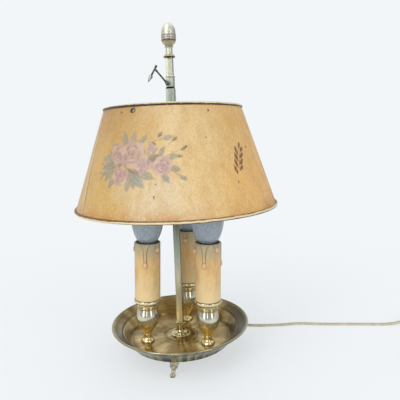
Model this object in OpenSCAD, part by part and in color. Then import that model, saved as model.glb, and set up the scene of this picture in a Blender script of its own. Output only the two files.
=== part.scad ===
// Bouillotte lamp: a brass tray on three feet carries a square stem and three candle lights.
// A painted sheet shade hangs on a slider that an arrow-shaped key locks on the stem.
// Millimetres. +Z is up, -Y is the front, and the origin is on the table under the stem.

/* [Tray] */
// Outer radius of the tray's rim
tray_r = 75; // [68:0.5:90]
// Radius of the flat floor
tray_floor_r = 54.6; // [52:0.2:58]
// Height of the tray's underside above the table
foot_h = 18; // [15:0.5:26]
// Thickness of the floor
floor_t = 3; // [2.4:0.1:5]
// Thickness of the flared wall
tray_wall_t = 2; // [1.4:0.1:3]
// Height of the rim above the tray's underside
tray_h = 20; // [16:0.5:30]
// Radius of the bead along the rim
tray_bead_r = 1.1; // [0.6:0.1:1.8]
// Radius of the ring turned in the floor
floor_ring_r = 17.8; // [15:0.2:21]

/* [Feet] */
// Distance of each foot from the stem
foot_place_r = 50.2; // [49.9:0.1:50.6]
// Radius of a foot's top pad
foot_pad_r = 5; // [4:0.1:5.2]
// Radius of a foot's hoof
foot_hoof_r = 2.6; // [2.2:0.1:3.6]
// Tilt of a foot sideways
foot_splay = 9; // [0:1:12]
// Radius of the studs that hold the feet
foot_stud_r = 1.5; // [1:0.1:2]

/* [Stem] */
// Side of the square stem
stem_side = 6.8; // [6:0.1:8]
// Height of the stem's flat top above the table
stem_top_z = 318.4; // [310:0.5:340]
// Turn of the stem's faces, clockwise from above
stem_turn = 11; // [0:1:20]
// Radius of the round stud under the stem
stem_stud_r = 3; // [2.5:0.1:3.3]
// Radius of the stem's foot flange
flange_r = 10.75; // [9:0.25:13]
// Height of the stem's foot above the floor
flange_h = 14; // [11:0.5:18]

/* [Candles] */
// Distance of each candle from the stem
candle_place_r = 38; // [37:0.25:38.25]
// Lean of the left candle to the right
lean_left = 2.7; // [0:0.1:4]
// Lean of the right candle to the right
lean_right = 1.6; // [0:0.1:4]
// Lean of the back candle to the right
lean_back = 2.4; // [0:0.1:4]
// Height of a candle cup above the floor
cup_h = 48.5; // [44:0.5:52]
// Radius of a cup's belly
cup_belly_r = 12.2; // [11:0.1:13]
// Radius of a cup's lip
cup_lip_r = 14.3; // [14.1:0.1:14.8]
// Radius of a cup's foot
cup_foot_r = 7.2; // [6.6:0.1:8]
// Radius of a cup's threaded spigot
spigot_r = 4; // [3.6:0.1:4.2]
// Radius of the wire bore through a cup
wire_bore_r = 2.2; // [1.9:0.1:2.4]
// Outer radius of a candle sleeve
sleeve_r = 13.5; // [13.2:0.1:13.6]
// Wall of a candle sleeve
sleeve_t = 1.5; // [1.3:0.1:1.6]
// Height of a candle sleeve
sleeve_h = 64; // [60:0.5:70]

/* [Bulbs] */
// Largest radius of a bulb's glass
bulb_r = 17; // [16:0.25:17.5]
// Height of the glass from its cap to its tip
bulb_h = 72.5; // [66:0.5:76]
// Thickness of the glass
glass_t = 0.8; // [0.6:0.1:1.2]
// Radius of the bulb's cap
cap_r = 6.9; // [6.7:0.05:7]
// Height of the bulb's cap with its contact
cap_h = 22.3; // [20:0.1:24]

/* [Shade] */
// Height of the shade's lower edge above the table
shade_z = 166.8; // [160:0.2:175]
// Height of the shade
shade_h = 101.8; // [92:0.2:104]
// Outer radius of the shade's wall at the top
shade_top_r = 69.4; // [62:0.2:80]
// Outer radius of the shade's wall at the bottom
shade_bottom_r = 104.4; // [94:0.2:115]
// Thickness of the shade's sheet
shade_t = 0.7; // [0.5:0.1:1.2]
// Radius of the rolled edge at the top
top_bead_r = 1.7; // [1.2:0.1:2]
// Radius of the rolled edge at the bottom
bottom_bead_r = 1.6; // [1.2:0.1:2]
// How far the shade hangs to the right of the stem
shade_shift = 1.8; // [0:0.2:2]

/* [Slider] */
// Outer side of the slider's square tube
slider_side = 8.7; // [8.2:0.1:9.5]
// Height of the collar's top above the table
collar_top_z = 300.4; // [298:0.2:301]
// Height of the collar
collar_h = 12.9; // [11:0.1:15]
// Depth of the spider's screws below the shade's top
spider_drop = 6.2; // [6:0.1:12]
// Width of a spider arm
arm_w = 5; // [4:0.1:6]
// Thickness of a spider arm
arm_t = 1.5; // [1:0.1:2]

/* [Key] */
// Length of the key's thin arm
key_arm_l = 19; // [16:0.1:22]
// Angle of the arm from the stem's right side, turning up
key_angle = 129; // [115:1:150]
// Length of the arrow that serves as a handle
arrow_l = 18.5; // [14:0.1:20]
// Part of the arrow behind the arm's end
arrow_tail_l = 3.3; // [2:0.1:6]
// Angle from the arm to the arrow
arrow_cant = 110; // [90:1:115]
// Distance of the key's screw from the middle of the stem's front
key_shift = 2.2; // [1:0.1:2.3]
// Radius of the key's screw
key_screw_r = 1.3; // [1:0.1:1.5]

/* [Finial] */
// Height of the finial
finial_h = 33.8; // [28:0.2:40]
// Radius of the acorn
finial_r = 7.5; // [6.5:0.1:9]
// Radius of the threaded pin that the finial turns on
finial_pin_r = 2.2; // [1.8:0.1:2.6]

/* [Cord] */
// Width of the flat twin cord
cord_w = 4.4; // [4:0.1:5]
// Thickness of the flat twin cord
cord_t = 2.4; // [2:0.1:2.8]
// Mean radius of the coil
coil_r = 22; // [20:0.5:24]
// Turns that lie side by side in the coil
coil_across = 5; // [4:1:6]
// Turns that lie on each other in the coil
coil_high = 2; // [1:1:3]

/* [Switch and plug] */
// Length of the switch's housing
switch_l = 54; // [50:1:60]
// Width of the switch's housing
switch_w = 20; // [18:0.5:24]
// Height of the switch's housing
switch_h = 14; // [13:0.5:17]
// Width of the plug
plug_w = 35.3; // [34:0.1:37]
// Height of the plug
plug_h = 13.7; // [13:0.1:15]
// Length of the plug's body
plug_l = 36; // [32:0.5:40]
// Length of the plug's pins
pin_l = 19; // [17:0.5:20]

/* [Clearances] */
// Gap between pieces that slide or turn on each other, on each side
run_gap = 0.1; // [0.05:0.01:0.1]
// Gap between a thread and its bore, on each side
thread_gap = 0.05; // [0.02:0.01:0.1]
// Gap between the shade's curved wall and a flat piece on it
seat_gap = 0.15; // [0.1:0.01:0.3]

/* [Hidden] */
$fn = 64;

// Places round the stem, as angles from +X
LEFT = 198;
RIGHT = -42;
BACK = 78;
LIGHTS = [[LEFT, lean_left], [RIGHT, lean_right], [BACK, lean_back]];
foot_angles = [260, 20, 140];
spider_angles = [240, 0, 120];
cord_angle = 50;

// Heights of the levels that the pieces share
floor_z = foot_h + floor_t;
rim_z = foot_h + tray_h;
sleeve_bore_r = sleeve_r - sleeve_t;
dish_depth = 2.2;
seat_h = cup_h - dish_depth;
flange_top_z = floor_z + flange_h;
shade_top_z = shade_z + shade_h;
screw_z = shade_top_z - spider_drop;
collar_z = collar_top_z - collar_h;

// Under the tray
washer_t = 0.6;
cup_nut_h = 3;
spigot_l = floor_t + washer_t + cup_nut_h + 0.6;
cup_nut_af = 11;
stem_washer_r = 8;
stem_washer_t = 0.8;
stem_nut_h = 2.6;
stem_nut_af = 10;
cover_r = 44.8;
cover_t = 0.8;
cover_wall_h = 4.8;
cover_depth = 8;
cover_taper = 4.8;
cover_z = foot_h - cover_depth;
cover_nut_h = 2.6;
cover_nut_r = 6;
stud_end_z = cover_z - cover_nut_h - 0.6;
block_size = [14, 9, 6.4];
block_r = 22;
lead_r = 1.4;
lead_z = foot_h - 5.4;
foot_stud_in = 2;
foot_stud_l = 8;

// Lampholder; heights are along the candle's axis, from its foot
nipple_r = 5;
nipple_bore_r = 3.4;
nipple_in = 12;
nipple_out = 9;
holder_top_h = seat_h + sleeve_h - 4.6;
holder_r = sleeve_bore_r - 0.5;
holder_post_r = 8;
holder_foot_h = 3;
holder_cup_h = 29;
shell_t = 0.6;
shell_r = cap_r + run_gap + shell_t;
shell_h = 20.5;
holder_bore_r = shell_r + thread_gap;
cap_top_h = holder_top_h + 0.6;
contact_r = 2.6;
contact_h = 1.8;
socket_floor_h = cap_top_h - cap_h - contact_h - run_gap;

// Slider, spider and key
slot_side = stem_side + 2 * run_gap;
collar_side = 7.8;
collar_bead_side = 8.6;
collar_bead_h = 1.4;
hub_r = 8.5;
hub_h = 2.6;
tab_down = 6.6;
tab_up = 2.6;
tab_t = 1.2;
spider_z = screw_z - tab_down;
spider_screw_r = 1.4;
spider_head_r = 2.5;
spider_head_h = 1.1;
spider_nut_af = 5.5;
spider_nut_h = 2;
boss_r = 1.6;
boss_h = 1.6;
key_hub_r = 1.7;
key_hub_h = 1.6;
key_arm_r = 0.95;
arrow_shaft_r = 0.95;
arrow_head_l = 6.8;
arrow_head_r = 2;
key_z = collar_z + 4.8;
finial_pin_l = 10;

// Where the wall of the shade is, and how far it leans
function shade_wall_r(z) =
    shade_bottom_r + (shade_top_r - shade_bottom_r) * (z - shade_z) / shade_h;
shade_lean = atan2(shade_bottom_r - shade_top_r, shade_h);

// Cord: hand-picked places along its way, after the ones at the bush
bush_flange_r = 4.2;
bush_sleeve_r = 3.2;
bush_z = foot_h - 4.4;
bush_l = 19;
bush_bore_r = 2.05;
bush_from_r = cover_r - 6;
bush_to_r = cover_r + bush_l;
cord_ext = 2;
switch_x = 284;
switch_y = 30;
switch_z = 5.5;
coil_x = 325;
coil_y = -20;
plug_x = 286;
plug_y = -74;
cord_lie = cord_t / 2;

RUN_ROUTE = [
    [bush_to_r * cos(cord_angle), bush_to_r * sin(cord_angle), bush_z],
    [(bush_to_r + 5) * cos(cord_angle), (bush_to_r + 5) * sin(cord_angle), bush_z - 0.8],
    [53, 57, 9.4], [64, 57.5, 5], [75, 55.5, 2], [85, 52, cord_lie], [95, 49.6, cord_lie],
    [108, 48, cord_lie], [124, 47.2, cord_lie], [140, 47.8, cord_lie], [153, 47.2, cord_lie],
    [168, 44, cord_lie], [188, 40.6, cord_lie], [210, 37.6, cord_lie], [230, 34.8, cord_lie],
    [248, 32, cord_lie], [262, 30.5, 2], [274, 30, 4.2], [switch_x, switch_y, switch_z]
];
LINK_ROUTE = [
    [switch_x + switch_l, switch_y, switch_z], [346, 29.8, 4.6], [356, 27, 2.4],
    [363, 20, cord_lie], [366, 10, cord_lie], [364, 0, 1.6], [359, -9, 2.8], [353, -20, 4]
];
TAIL_ROUTE = [
    [333, -47, 4], [322, -52.8, 4], [312, -60.4, 4.4], [303, -68.2, 5.2], [297, -72.3, 6.2],
    [plug_x + 5, plug_y, plug_h / 2], [plug_x, plug_y, plug_h / 2]
];

function unit(v) = v / norm(v);

// Points on a smooth line through the given ones, with steps on each stretch
function smooth_line(p, steps) = [
    for (i = [0 : len(p) - 2], s = [0 : steps - 1])
        let (
            a = p[max(i - 1, 0)], b = p[i], c = p[i + 1], d = p[min(i + 2, len(p) - 1)],
            t = s / steps
        )
        ((2 * b) + (c - a) * t + (2 * a - 5 * b + 4 * c - d) * t * t
            + (3 * b - a - 3 * c + d) * t * t * t) / 2,
    p[len(p) - 1]
];

function arc_points(centre, r, from, to, steps) = [
    for (i = [0 : steps]) let (a = from + (to - from) * i / steps)
        centre + r * [cos(a), sin(a)]
];

// Points on a curve from a to c that is pulled towards b
function bend_points(a, b, c, steps) = [
    for (i = [0 : steps]) let (t = i / steps)
        (1 - t) * (1 - t) * a + 2 * t * (1 - t) * b + t * t * c
];

function reversed(p) = [for (i = [len(p) - 1 : -1 : 0]) p[i]];

// A piece at a place round the stem, with its own +X pointing outwards
module at_angle(angle, r = 0, z = 0) {
    rotate([0, 0, angle]) translate([r, 0, z]) children();
}

// A piece on a candle's own axis, at a height above its foot on the tray
module on_candle(light, h = 0) {
    translate([candle_place_r * cos(light[0]), candle_place_r * sin(light[0]), floor_z])
        rotate([0, light[1], 0]) translate([0, 0, h]) children();
}

// An oval cord along a line, lying flat on its wide side
module flat_cord(line, w = cord_w, t = cord_t, sides = 8) {
    last = len(line) - 1;
    rings = [
        for (i = [0 : last])
            let (
                ahead = unit(line[min(i + 1, last)] - line[max(i - 1, 0)]),
                side = unit(cross(ahead, [0, 0, 1])),
                up = cross(side, ahead)
            )
            for (k = [0 : sides - 1]) let (a = 360 * (k + 0.5) / sides)
                line[i] + side * (w / 2 * cos(a)) + up * (t / 2 * sin(a))
    ];
    walls = [
        for (i = [0 : last - 1], k = [0 : sides - 1]) let (n = (k + 1) % sides)
            [i * sides + k, i * sides + n, (i + 1) * sides + n, (i + 1) * sides + k]
    ];
    start = [[for (k = [sides - 1 : -1 : 0]) k]];
    end = [[for (k = [0 : sides - 1]) last * sides + k]];
    polyhedron(points = rings, faces = concat(start, walls, end), convexity = 8);
}

module tube(r, bore_r, h) {
    difference() {
        cylinder(r = r, h = h);
        translate([0, 0, -1]) cylinder(r = bore_r, h = h + 2);
    }
}

module hex_nut(flats, bore_r, h) {
    difference() {
        cylinder(r = flats / 2 / cos(30), h = h, $fn = 6);
        translate([0, 0, -1]) cylinder(r = bore_r, h = h + 2);
    }
}

module square_bar(side, h) {
    translate([-side / 2, -side / 2, 0]) cube([side, side, h]);
}

/* Tray and feet */

// The flare starts steep at the floor and ends nearly flat at the rim
wall_foot = [tray_floor_r, floor_z];
wall_lip = [tray_r - 1.5 * tray_bead_r, rim_z - tray_bead_r];
wall_pull = [tray_floor_r + 4.8, floor_z + (rim_z - floor_z) * 0.56];

module tray() {
    inner = bend_points(wall_foot, wall_pull, wall_lip, 12);
    outer = bend_points(
        wall_lip + [0.3, -tray_wall_t],
        wall_pull + [tray_wall_t, -tray_wall_t * 0.6],
        [tray_floor_r + 1.2, foot_h + 1.2], 12);
    corner = arc_points([tray_floor_r, foot_h + 1.2], 1.2, 0, -90, 4);
    groove = [
        [floor_ring_r - 1.8, floor_z], [floor_ring_r - 1.2, floor_z - 0.5],
        [floor_ring_r + 1.2, floor_z - 0.5], [floor_ring_r + 1.8, floor_z]
    ];
    color("goldenrod") difference() {
        rotate_extrude($fn = 128) union() {
            polygon(concat([[0, foot_h], [0, floor_z]], groove, inner, outer, corner));
            translate([tray_r - tray_bead_r, rim_z - tray_bead_r])
                circle(r = tray_bead_r, $fn = 32);
        }
        translate([0, 0, foot_h - 1]) cylinder(r = stem_stud_r + run_gap, h = floor_t + 2);
        for (a = [LEFT, RIGHT, BACK])
            at_angle(a, candle_place_r, foot_h - 1)
                cylinder(r = spigot_r + run_gap, h = floor_t + 2);
        for (a = foot_angles)
            at_angle(a, foot_place_r, foot_h - 1)
                cylinder(r = foot_stud_r + thread_gap, h = foot_stud_in + 1);
    }
}

// A cast foot: leafy shoulder, slim shin and hoof
module foot(angle) {
    knee = foot_h * 0.58;
    foot_extra = 1.5;
    trim = 2 * foot_pad_r;
    outline = concat(
        [[0, -foot_extra], [foot_hoof_r, -foot_extra], [foot_hoof_r, 1.2]],
        smooth_line([
            [foot_hoof_r * 0.9, 2.6], [foot_hoof_r * 0.94, foot_h * 0.3],
            [foot_hoof_r * 1.05, foot_h * 0.45], [foot_pad_r * 0.62, knee],
            [foot_pad_r * 0.86, foot_h - 3.8], [foot_pad_r, foot_h - 1.2]
        ], 3),
        [[foot_pad_r, foot_h + foot_extra], [0, foot_h + foot_extra]]);
    color("darkkhaki") at_angle(angle, foot_place_r) difference() {
        intersection() {
            translate([0, 0, foot_h / 2]) rotate([-foot_splay, 0, 0])
                translate([0, 0, -foot_h / 2]) union() {
                    rotate_extrude() polygon(outline);
                    for (side = [-1, 1])
                        translate([foot_pad_r * 0.56, side * foot_pad_r * 0.38, foot_h - 3.6])
                            sphere(r = foot_pad_r * 0.36, $fn = 32);
                }
            translate([-trim, -trim, 0]) cube([2 * trim, 2 * trim, foot_h]);
        }
        translate([0, 0, foot_h - foot_stud_l + foot_stud_in])
            cylinder(r = foot_stud_r + thread_gap, h = foot_stud_l);
    }
}

module foot_front() { foot(foot_angles[0]); }
module foot_right() { foot(foot_angles[1]); }
module foot_left() { foot(foot_angles[2]); }

module foot_studs() {
    color("silver") for (a = foot_angles)
        at_angle(a, foot_place_r, foot_h - foot_stud_l + foot_stud_in)
            cylinder(r = foot_stud_r, h = foot_stud_l);
}

/* Stem */

module escutcheon() {
    neck_r = stem_side * 0.57;
    cap_r = stem_side * 0.74;
    outline = concat(
        [[stem_stud_r + thread_gap, 0], [flange_r, 0]],
        arc_points([flange_r - 0.8, 0.8], 0.8, 0, 90, 4),
        [[flange_r - 2, 1.8], [flange_r - 2.3, 2.6], [flange_r - 3.3, 2.8]],
        bend_points([flange_r - 3.6, 3.3], [neck_r, 4], [neck_r, flange_h * 0.56], 6),
        [[neck_r, flange_h - 3.2], [cap_r, flange_h - 2.2], [cap_r, flange_h],
         [stem_stud_r + thread_gap, flange_h]]);
    color("gold") translate([0, 0, floor_z]) rotate_extrude() polygon(outline);
}

module stem() {
    color("darkseagreen") rotate([0, 0, -stem_turn]) {
        translate([0, 0, flange_top_z]) square_bar(stem_side, stem_top_z - flange_top_z);
        translate([0, 0, stud_end_z]) cylinder(r = stem_stud_r, h = flange_top_z - stud_end_z);
        translate([0, 0, stem_top_z]) cylinder(r = finial_pin_r, h = finial_pin_l);
    }
}

module stem_washer() {
    color("silver") translate([0, 0, foot_h - stem_washer_t])
        tube(stem_washer_r, stem_stud_r + thread_gap, stem_washer_t);
}

module stem_nut() {
    color("silver") translate([0, 0, foot_h - stem_washer_t - stem_nut_h])
        hex_nut(stem_nut_af, stem_stud_r + thread_gap, stem_nut_h);
}

/* Cover over the wiring */

module cover_plate() {
    lower_r = cover_r - cover_taper;
    side_z = foot_h - cover_wall_h;
    outline = [
        [stem_stud_r + run_gap, cover_z], [lower_r, cover_z], [cover_r, side_z],
        [cover_r, foot_h], [cover_r - cover_t, foot_h], [cover_r - cover_t, side_z + 0.4],
        [lower_r - 0.3, cover_z + cover_t], [stem_stud_r + run_gap, cover_z + cover_t]
    ];
    color("olive") difference() {
        rotate_extrude($fn = 128) polygon(outline);
        at_angle(cord_angle, bush_from_r, bush_z) rotate([0, 90, 0])
            cylinder(r = bush_sleeve_r + thread_gap, h = 2 * cover_taper);
    }
}

module cover_nut() {
    color("goldenrod") translate([0, 0, cover_z - cover_nut_h])
        tube(cover_nut_r, stem_stud_r + thread_gap, cover_nut_h);
}

module terminal_block() {
    color("ivory") at_angle(cord_angle, block_r, foot_h - block_size[2] / 2)
        cube(block_size, center = true);
}

// Supply wire from the bush's outer end to the block
module supply_lead() {
    color("khaki") at_angle(cord_angle, block_r, bush_z) rotate([0, 90, 0])
        cylinder(r = cord_ext, h = bush_to_r - block_r);
}

// Bush with a tapered sleeve that protects the cord where it leaves the cover
module cord_bush() {
    outline = [
        [bush_bore_r, 0], [bush_sleeve_r, 0], [bush_sleeve_r, cover_r + run_gap - bush_from_r],
        [bush_flange_r, cover_r + run_gap - bush_from_r],
        [bush_flange_r, cover_r + 1.8 - bush_from_r],
        [bush_sleeve_r, cover_r + 2.4 - bush_from_r], [bush_bore_r + 0.5, bush_to_r - bush_from_r],
        [bush_bore_r, bush_to_r - bush_from_r]
    ];
    color("dimgray") at_angle(cord_angle, bush_from_r, bush_z) rotate([0, 90, 0])
        rotate_extrude() polygon(outline);
}

/* Candle lights */

module candle_cup(light) {
    waist_r = cup_foot_r * 0.55;
    dish_r = sleeve_r + run_gap;
    foot_curve = smooth_line([
        [cup_foot_r, 0], [cup_foot_r, 1.2], [cup_foot_r - 0.8, 2.6], [cup_foot_r * 0.68, 4],
        [waist_r + 0.15, cup_h * 0.115], [waist_r, cup_h * 0.155]
    ], 2);
    belly_curve = smooth_line([
        [waist_r + 0.5, cup_h * 0.21], [cup_belly_r * 0.47, cup_h * 0.25],
        [cup_belly_r * 0.66, cup_h * 0.325], [cup_belly_r * 0.87, cup_h * 0.42],
        [cup_belly_r * 0.985, cup_h * 0.52], [cup_belly_r, cup_h * 0.58],
        [cup_belly_r * 0.965, cup_h * 0.655], [cup_belly_r * 0.88, cup_h * 0.74],
        [cup_belly_r * 0.83, cup_h * 0.785]
    ], 3);
    lip_curve = smooth_line([
        [cup_belly_r * 0.83, cup_h * 0.85], [cup_lip_r * 0.7, cup_h * 0.885],
        [cup_lip_r * 0.77, cup_h * 0.91], [cup_lip_r * 0.93, cup_h * 0.93],
        [cup_lip_r, cup_h * 0.95]
    ], 3);
    outline = concat(
        [[0, -1], [cup_foot_r, -1]], foot_curve,
        [[waist_r + 0.7, cup_h * 0.175], [waist_r + 0.7, cup_h * 0.195],
         [waist_r + 0.2, cup_h * 0.2]],
        belly_curve,
        [[cup_belly_r * 0.9, cup_h * 0.8], [cup_belly_r * 0.9, cup_h * 0.835]],
        lip_curve,
        [[cup_lip_r, cup_h - 0.6], [cup_lip_r - 0.3, cup_h], [dish_r, cup_h], [dish_r, seat_h],
         [0, seat_h]]);
    place = [candle_place_r * cos(light[0]), candle_place_r * sin(light[0]), floor_z];
    trim = 2 * cup_lip_r;
    color("gold") difference() {
        union() {
            difference() {
                on_candle(light) rotate_extrude() polygon(outline);
                translate(place - [trim, trim, trim]) cube([2 * trim, 2 * trim, trim]);
            }
            translate(place - [0, 0, spigot_l]) cylinder(r = spigot_r, h = spigot_l + 1);
        }
        on_candle(light) cylinder(r = wire_bore_r, h = cup_h);
        translate(place) sphere(r = wire_bore_r + 0.4, $fn = 32);
        on_candle(light, seat_h - nipple_in - 1) cylinder(r = nipple_r, h = nipple_in + 2);
        translate(place - [0, 0, spigot_l + 1]) cylinder(r = wire_bore_r, h = spigot_l + 1.5);
    }
}

module candle_cup_left() { candle_cup(LIGHTS[0]); }
module candle_cup_right() { candle_cup(LIGHTS[1]); }
module candle_cup_back() { candle_cup(LIGHTS[2]); }

module cup_washers() {
    color("silver") for (a = [LEFT, RIGHT, BACK])
        at_angle(a, candle_place_r, foot_h - washer_t)
            tube(cup_nut_af / 2 - 0.2, spigot_r + thread_gap, washer_t);
}

module cup_nuts() {
    color("silver") for (a = [LEFT, RIGHT, BACK])
        at_angle(a, candle_place_r, foot_h - washer_t - cup_nut_h) rotate([0, 0, 30])
            hex_nut(cup_nut_af, spigot_r + thread_gap, cup_nut_h);
}

module holder_nipples() {
    color("lightgray") for (light = LIGHTS)
        on_candle(light, seat_h - nipple_in)
            tube(nipple_r - thread_gap, nipple_bore_r, nipple_in + nipple_out);
}

module lampholder(light) {
    rise = socket_floor_h - seat_h;
    top = holder_top_h - seat_h;
    shoulder = top - holder_cup_h;
    outline = [
        [nipple_r, 0], [holder_r, 0], [holder_r, holder_foot_h], [holder_post_r, holder_foot_h + 1.5],
        [holder_post_r, shoulder - 2], [holder_r, shoulder], [holder_r, top - 0.6],
        [holder_r - 0.6, top], [holder_bore_r, top], [holder_bore_r, rise], [contact_r, rise],
        [contact_r, rise - 3], [holder_post_r - 1.8, rise - 3],
        [holder_post_r - 1.8, nipple_out + 0.8], [nipple_r, nipple_out]
    ];
    color("saddlebrown") on_candle(light, seat_h) rotate_extrude() polygon(outline);
}

module lampholder_left() { lampholder(LIGHTS[0]); }
module lampholder_right() { lampholder(LIGHTS[1]); }
module lampholder_back() { lampholder(LIGHTS[2]); }

module holder_shells() {
    color("gold") for (light = LIGHTS)
        on_candle(light, holder_top_h - 1 - shell_h)
            tube(shell_r, shell_r - shell_t, shell_h);
}

module holder_contacts() {
    color("orange") for (light = LIGHTS)
        on_candle(light, socket_floor_h - 3)
            cylinder(r = contact_r, h = 3 + contact_h);
}

// Twin wires from each lampholder down through its cup and across to the block
module holder_leads() {
    block = block_r * [cos(cord_angle), sin(cord_angle)];
    color("khaki") for (light = LIGHTS) {
        place = candle_place_r * [cos(light[0]), sin(light[0])];
        way = block - place;
        on_candle(light) {
            cylinder(r = lead_r, h = socket_floor_h - 3, $fn = 32);
            sphere(r = lead_r, $fn = 32);
        }
        translate([place[0], place[1], lead_z]) {
            cylinder(r = lead_r, h = floor_z - lead_z, $fn = 32);
            sphere(r = lead_r, $fn = 32);
            rotate([0, 90, atan2(way[1], way[0])]) cylinder(r = lead_r, h = norm(way), $fn = 32);
        }
    }
}

// Each drip is an angle round the candle and a length from the top
LEFT_DRIPS = [[187, 8], [263, 22.7], [322, 7.5], [60, 18], [120, 11]];
RIGHT_DRIPS = [[192, 9], [249, 22.6], [308, 6.5], [355, 23], [90, 16]];
BACK_DRIPS = [[258, 11], [320, 22], [30, 13], [140, 26], [200, 15]];
drip_r = 1.2;
drop_r = 1.9;

module candle_sleeve(light, drips) {
    color("burlywood")
        on_candle(light, seat_h) {
            tube(sleeve_r, sleeve_bore_r, sleeve_h);
            for (d = drips) intersection() {
                rotate([0, 0, d[0]]) union() {
                    translate([sleeve_r - 0.1, 0, sleeve_h - d[1]])
                        cylinder(r = drip_r, h = d[1] - 0.3, $fn = 24);
                    translate([sleeve_r + 0.2, 0, sleeve_h - d[1]]) sphere(r = drop_r, $fn = 24);
                }
                tube(sleeve_r + 3, sleeve_r - 0.4, sleeve_h);
            }
        }
}

module candle_sleeve_left() { candle_sleeve(LIGHTS[0], LEFT_DRIPS); }
module candle_sleeve_right() { candle_sleeve(LIGHTS[1], RIGHT_DRIPS); }
module candle_sleeve_back() { candle_sleeve(LIGHTS[2], BACK_DRIPS); }

module bulb_cap(light) {
    wall = 0.5;
    outline = [
        [0, 0], [contact_r, 0], [contact_r, 1.4], [cap_r - 1.6, 3.4], [cap_r, 4],
        [cap_r, cap_h], [cap_r - wall, cap_h], [cap_r - wall, 5], [0, 5]
    ];
    color("silver") on_candle(light, cap_top_h - cap_h) rotate_extrude() polygon(outline);
}

module bulb_cap_left() { bulb_cap(LIGHTS[0]); }
module bulb_cap_right() { bulb_cap(LIGHTS[1]); }
module bulb_cap_back() { bulb_cap(LIGHTS[2]); }

// Height of the bulb's widest place above its cap, and the reach of the round part below it
bulb_belly_h = bulb_h * 0.44;
bulb_under = bulb_belly_h * 1.056;

function glass_r(h, r) = h < bulb_belly_h
    ? r * sqrt(1 - pow((bulb_belly_h - h) / bulb_under, 2))
    : let (t = (h - bulb_belly_h) / (bulb_h - bulb_belly_h))
        r * sqrt(max(0, 1 - t * t)) * (1 - 0.16 * t * t);

function glass_line(r, from, to) = [
    for (i = [0 : 24]) let (h = from + (to - from) * sin(90 * i / 24)) [glass_r(h, r), h]
];

module bulb_glass(light) {
    neck_r = cap_r - 0.6;
    outer = glass_line(bulb_r, 1.6, bulb_h);
    inner = reversed([for (p = glass_line(bulb_r, 1.6, bulb_h - glass_t))
        [max(p[0] - glass_t, 0), p[1]]]);
    outline = concat([[neck_r, -6], [neck_r, 0.4]], outer, inner,
        [[neck_r - glass_t, 0.6], [neck_r - glass_t, -6]]);
    color("lightsteelblue") on_candle(light, cap_top_h) rotate_extrude() polygon(outline);
}

module bulb_glass_left() { bulb_glass(LIGHTS[0]); }
module bulb_glass_right() { bulb_glass(LIGHTS[1]); }
module bulb_glass_back() { bulb_glass(LIGHTS[2]); }

/* Shade and what carries it */

top_bead = [shade_top_r + 0.1, shade_top_z - top_bead_r];
bottom_bead = [shade_bottom_r - 0.4, shade_z + bottom_bead_r];

// A piece on the shade's wall at the screws' height, with its own +X along the wall's normal
module on_shade_wall(angle) {
    translate([shade_shift, 0, 0]) at_angle(angle, shade_wall_r(screw_z), screw_z)
        rotate([0, -shade_lean, 0]) children();
}

module shade() {
    color("goldenrod") difference() {
        translate([shade_shift, 0, 0]) rotate_extrude($fn = 128) difference() {
            polygon([
                [shade_bottom_r, shade_z], [shade_top_r, shade_top_z],
                [shade_top_r - shade_t, shade_top_z], [shade_bottom_r - shade_t, shade_z]
            ]);
            translate(bottom_bead) circle(r = bottom_bead_r, $fn = 48);
            translate(top_bead) circle(r = top_bead_r, $fn = 48);
            translate([0, shade_z - 1]) square([shade_bottom_r + 5, 1 + bottom_bead_r]);
            translate([0, top_bead[1]]) square([shade_top_r + 5, 5]);
        }
        for (a = spider_angles) on_shade_wall(a) translate([-3, 0, 0]) rotate([0, 90, 0])
            cylinder(r = spider_screw_r + thread_gap, h = 6);
    }
}

module shade_top_rim() {
    color("saddlebrown") translate([shade_shift, 0, 0]) rotate_extrude($fn = 128)
        translate(top_bead) circle(r = top_bead_r, $fn = 48);
}

module shade_bottom_rim() {
    color("saddlebrown") translate([shade_shift, 0, 0]) rotate_extrude($fn = 128)
        translate(bottom_bead) circle(r = bottom_bead_r, $fn = 48);
}

module spider() {
    tab_out = -shade_t - seat_gap;
    arm_reach = shade_wall_r(spider_z) - shade_t - seat_gap - tab_t;
    color("gold") difference() {
        union() {
            translate([0, 0, spider_z]) cylinder(r = hub_r, h = hub_h);
            for (a = spider_angles) {
                translate([shade_shift, 0, 0]) at_angle(a, hub_r / 2, spider_z)
                    translate([0, -arm_w / 2, 0]) cube([arm_reach - hub_r / 2 + 0.4, arm_w, arm_t]);
                on_shade_wall(a) translate([tab_out - tab_t, -arm_w / 2, -tab_down])
                    cube([tab_t, arm_w, tab_down + tab_up]);
            }
        }
        translate([0, 0, spider_z - 1]) rotate([0, 0, -stem_turn]) square_bar(slider_side, hub_h + 2);
        for (a = spider_angles) on_shade_wall(a) translate([-4, 0, 0]) rotate([0, 90, 0])
            cylinder(r = spider_screw_r + thread_gap, h = 6);
    }
}

module spider_screws() {
    shank = shade_t + seat_gap + tab_t + spider_nut_h + 0.8;
    color("dimgray") for (a = spider_angles) on_shade_wall(a) rotate([0, 90, 0]) {
        translate([0, 0, -shank]) cylinder(r = spider_screw_r, h = shank);
        rotate_extrude() polygon(concat([[0, 0], [spider_head_r, 0], [spider_head_r, 0.4]],
            bend_points([spider_head_r * 0.9, 0.7], [spider_head_r * 0.6, spider_head_h],
                [0, spider_head_h], 4)));
    }
}

module spider_nuts() {
    color("silver") for (a = spider_angles) on_shade_wall(a)
        translate([-shade_t - seat_gap - tab_t - spider_nut_h, 0, 0]) rotate([0, 90, 0])
            hex_nut(spider_nut_af, spider_screw_r + thread_gap, spider_nut_h);
}

module slider_tube() {
    tube_l = collar_z - spider_z;
    color("lightgray") rotate([0, 0, -stem_turn]) difference() {
        translate([0, 0, spider_z]) square_bar(slider_side, tube_l);
        translate([0, 0, spider_z - 1]) square_bar(slot_side, tube_l + 2);
    }
}

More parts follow.
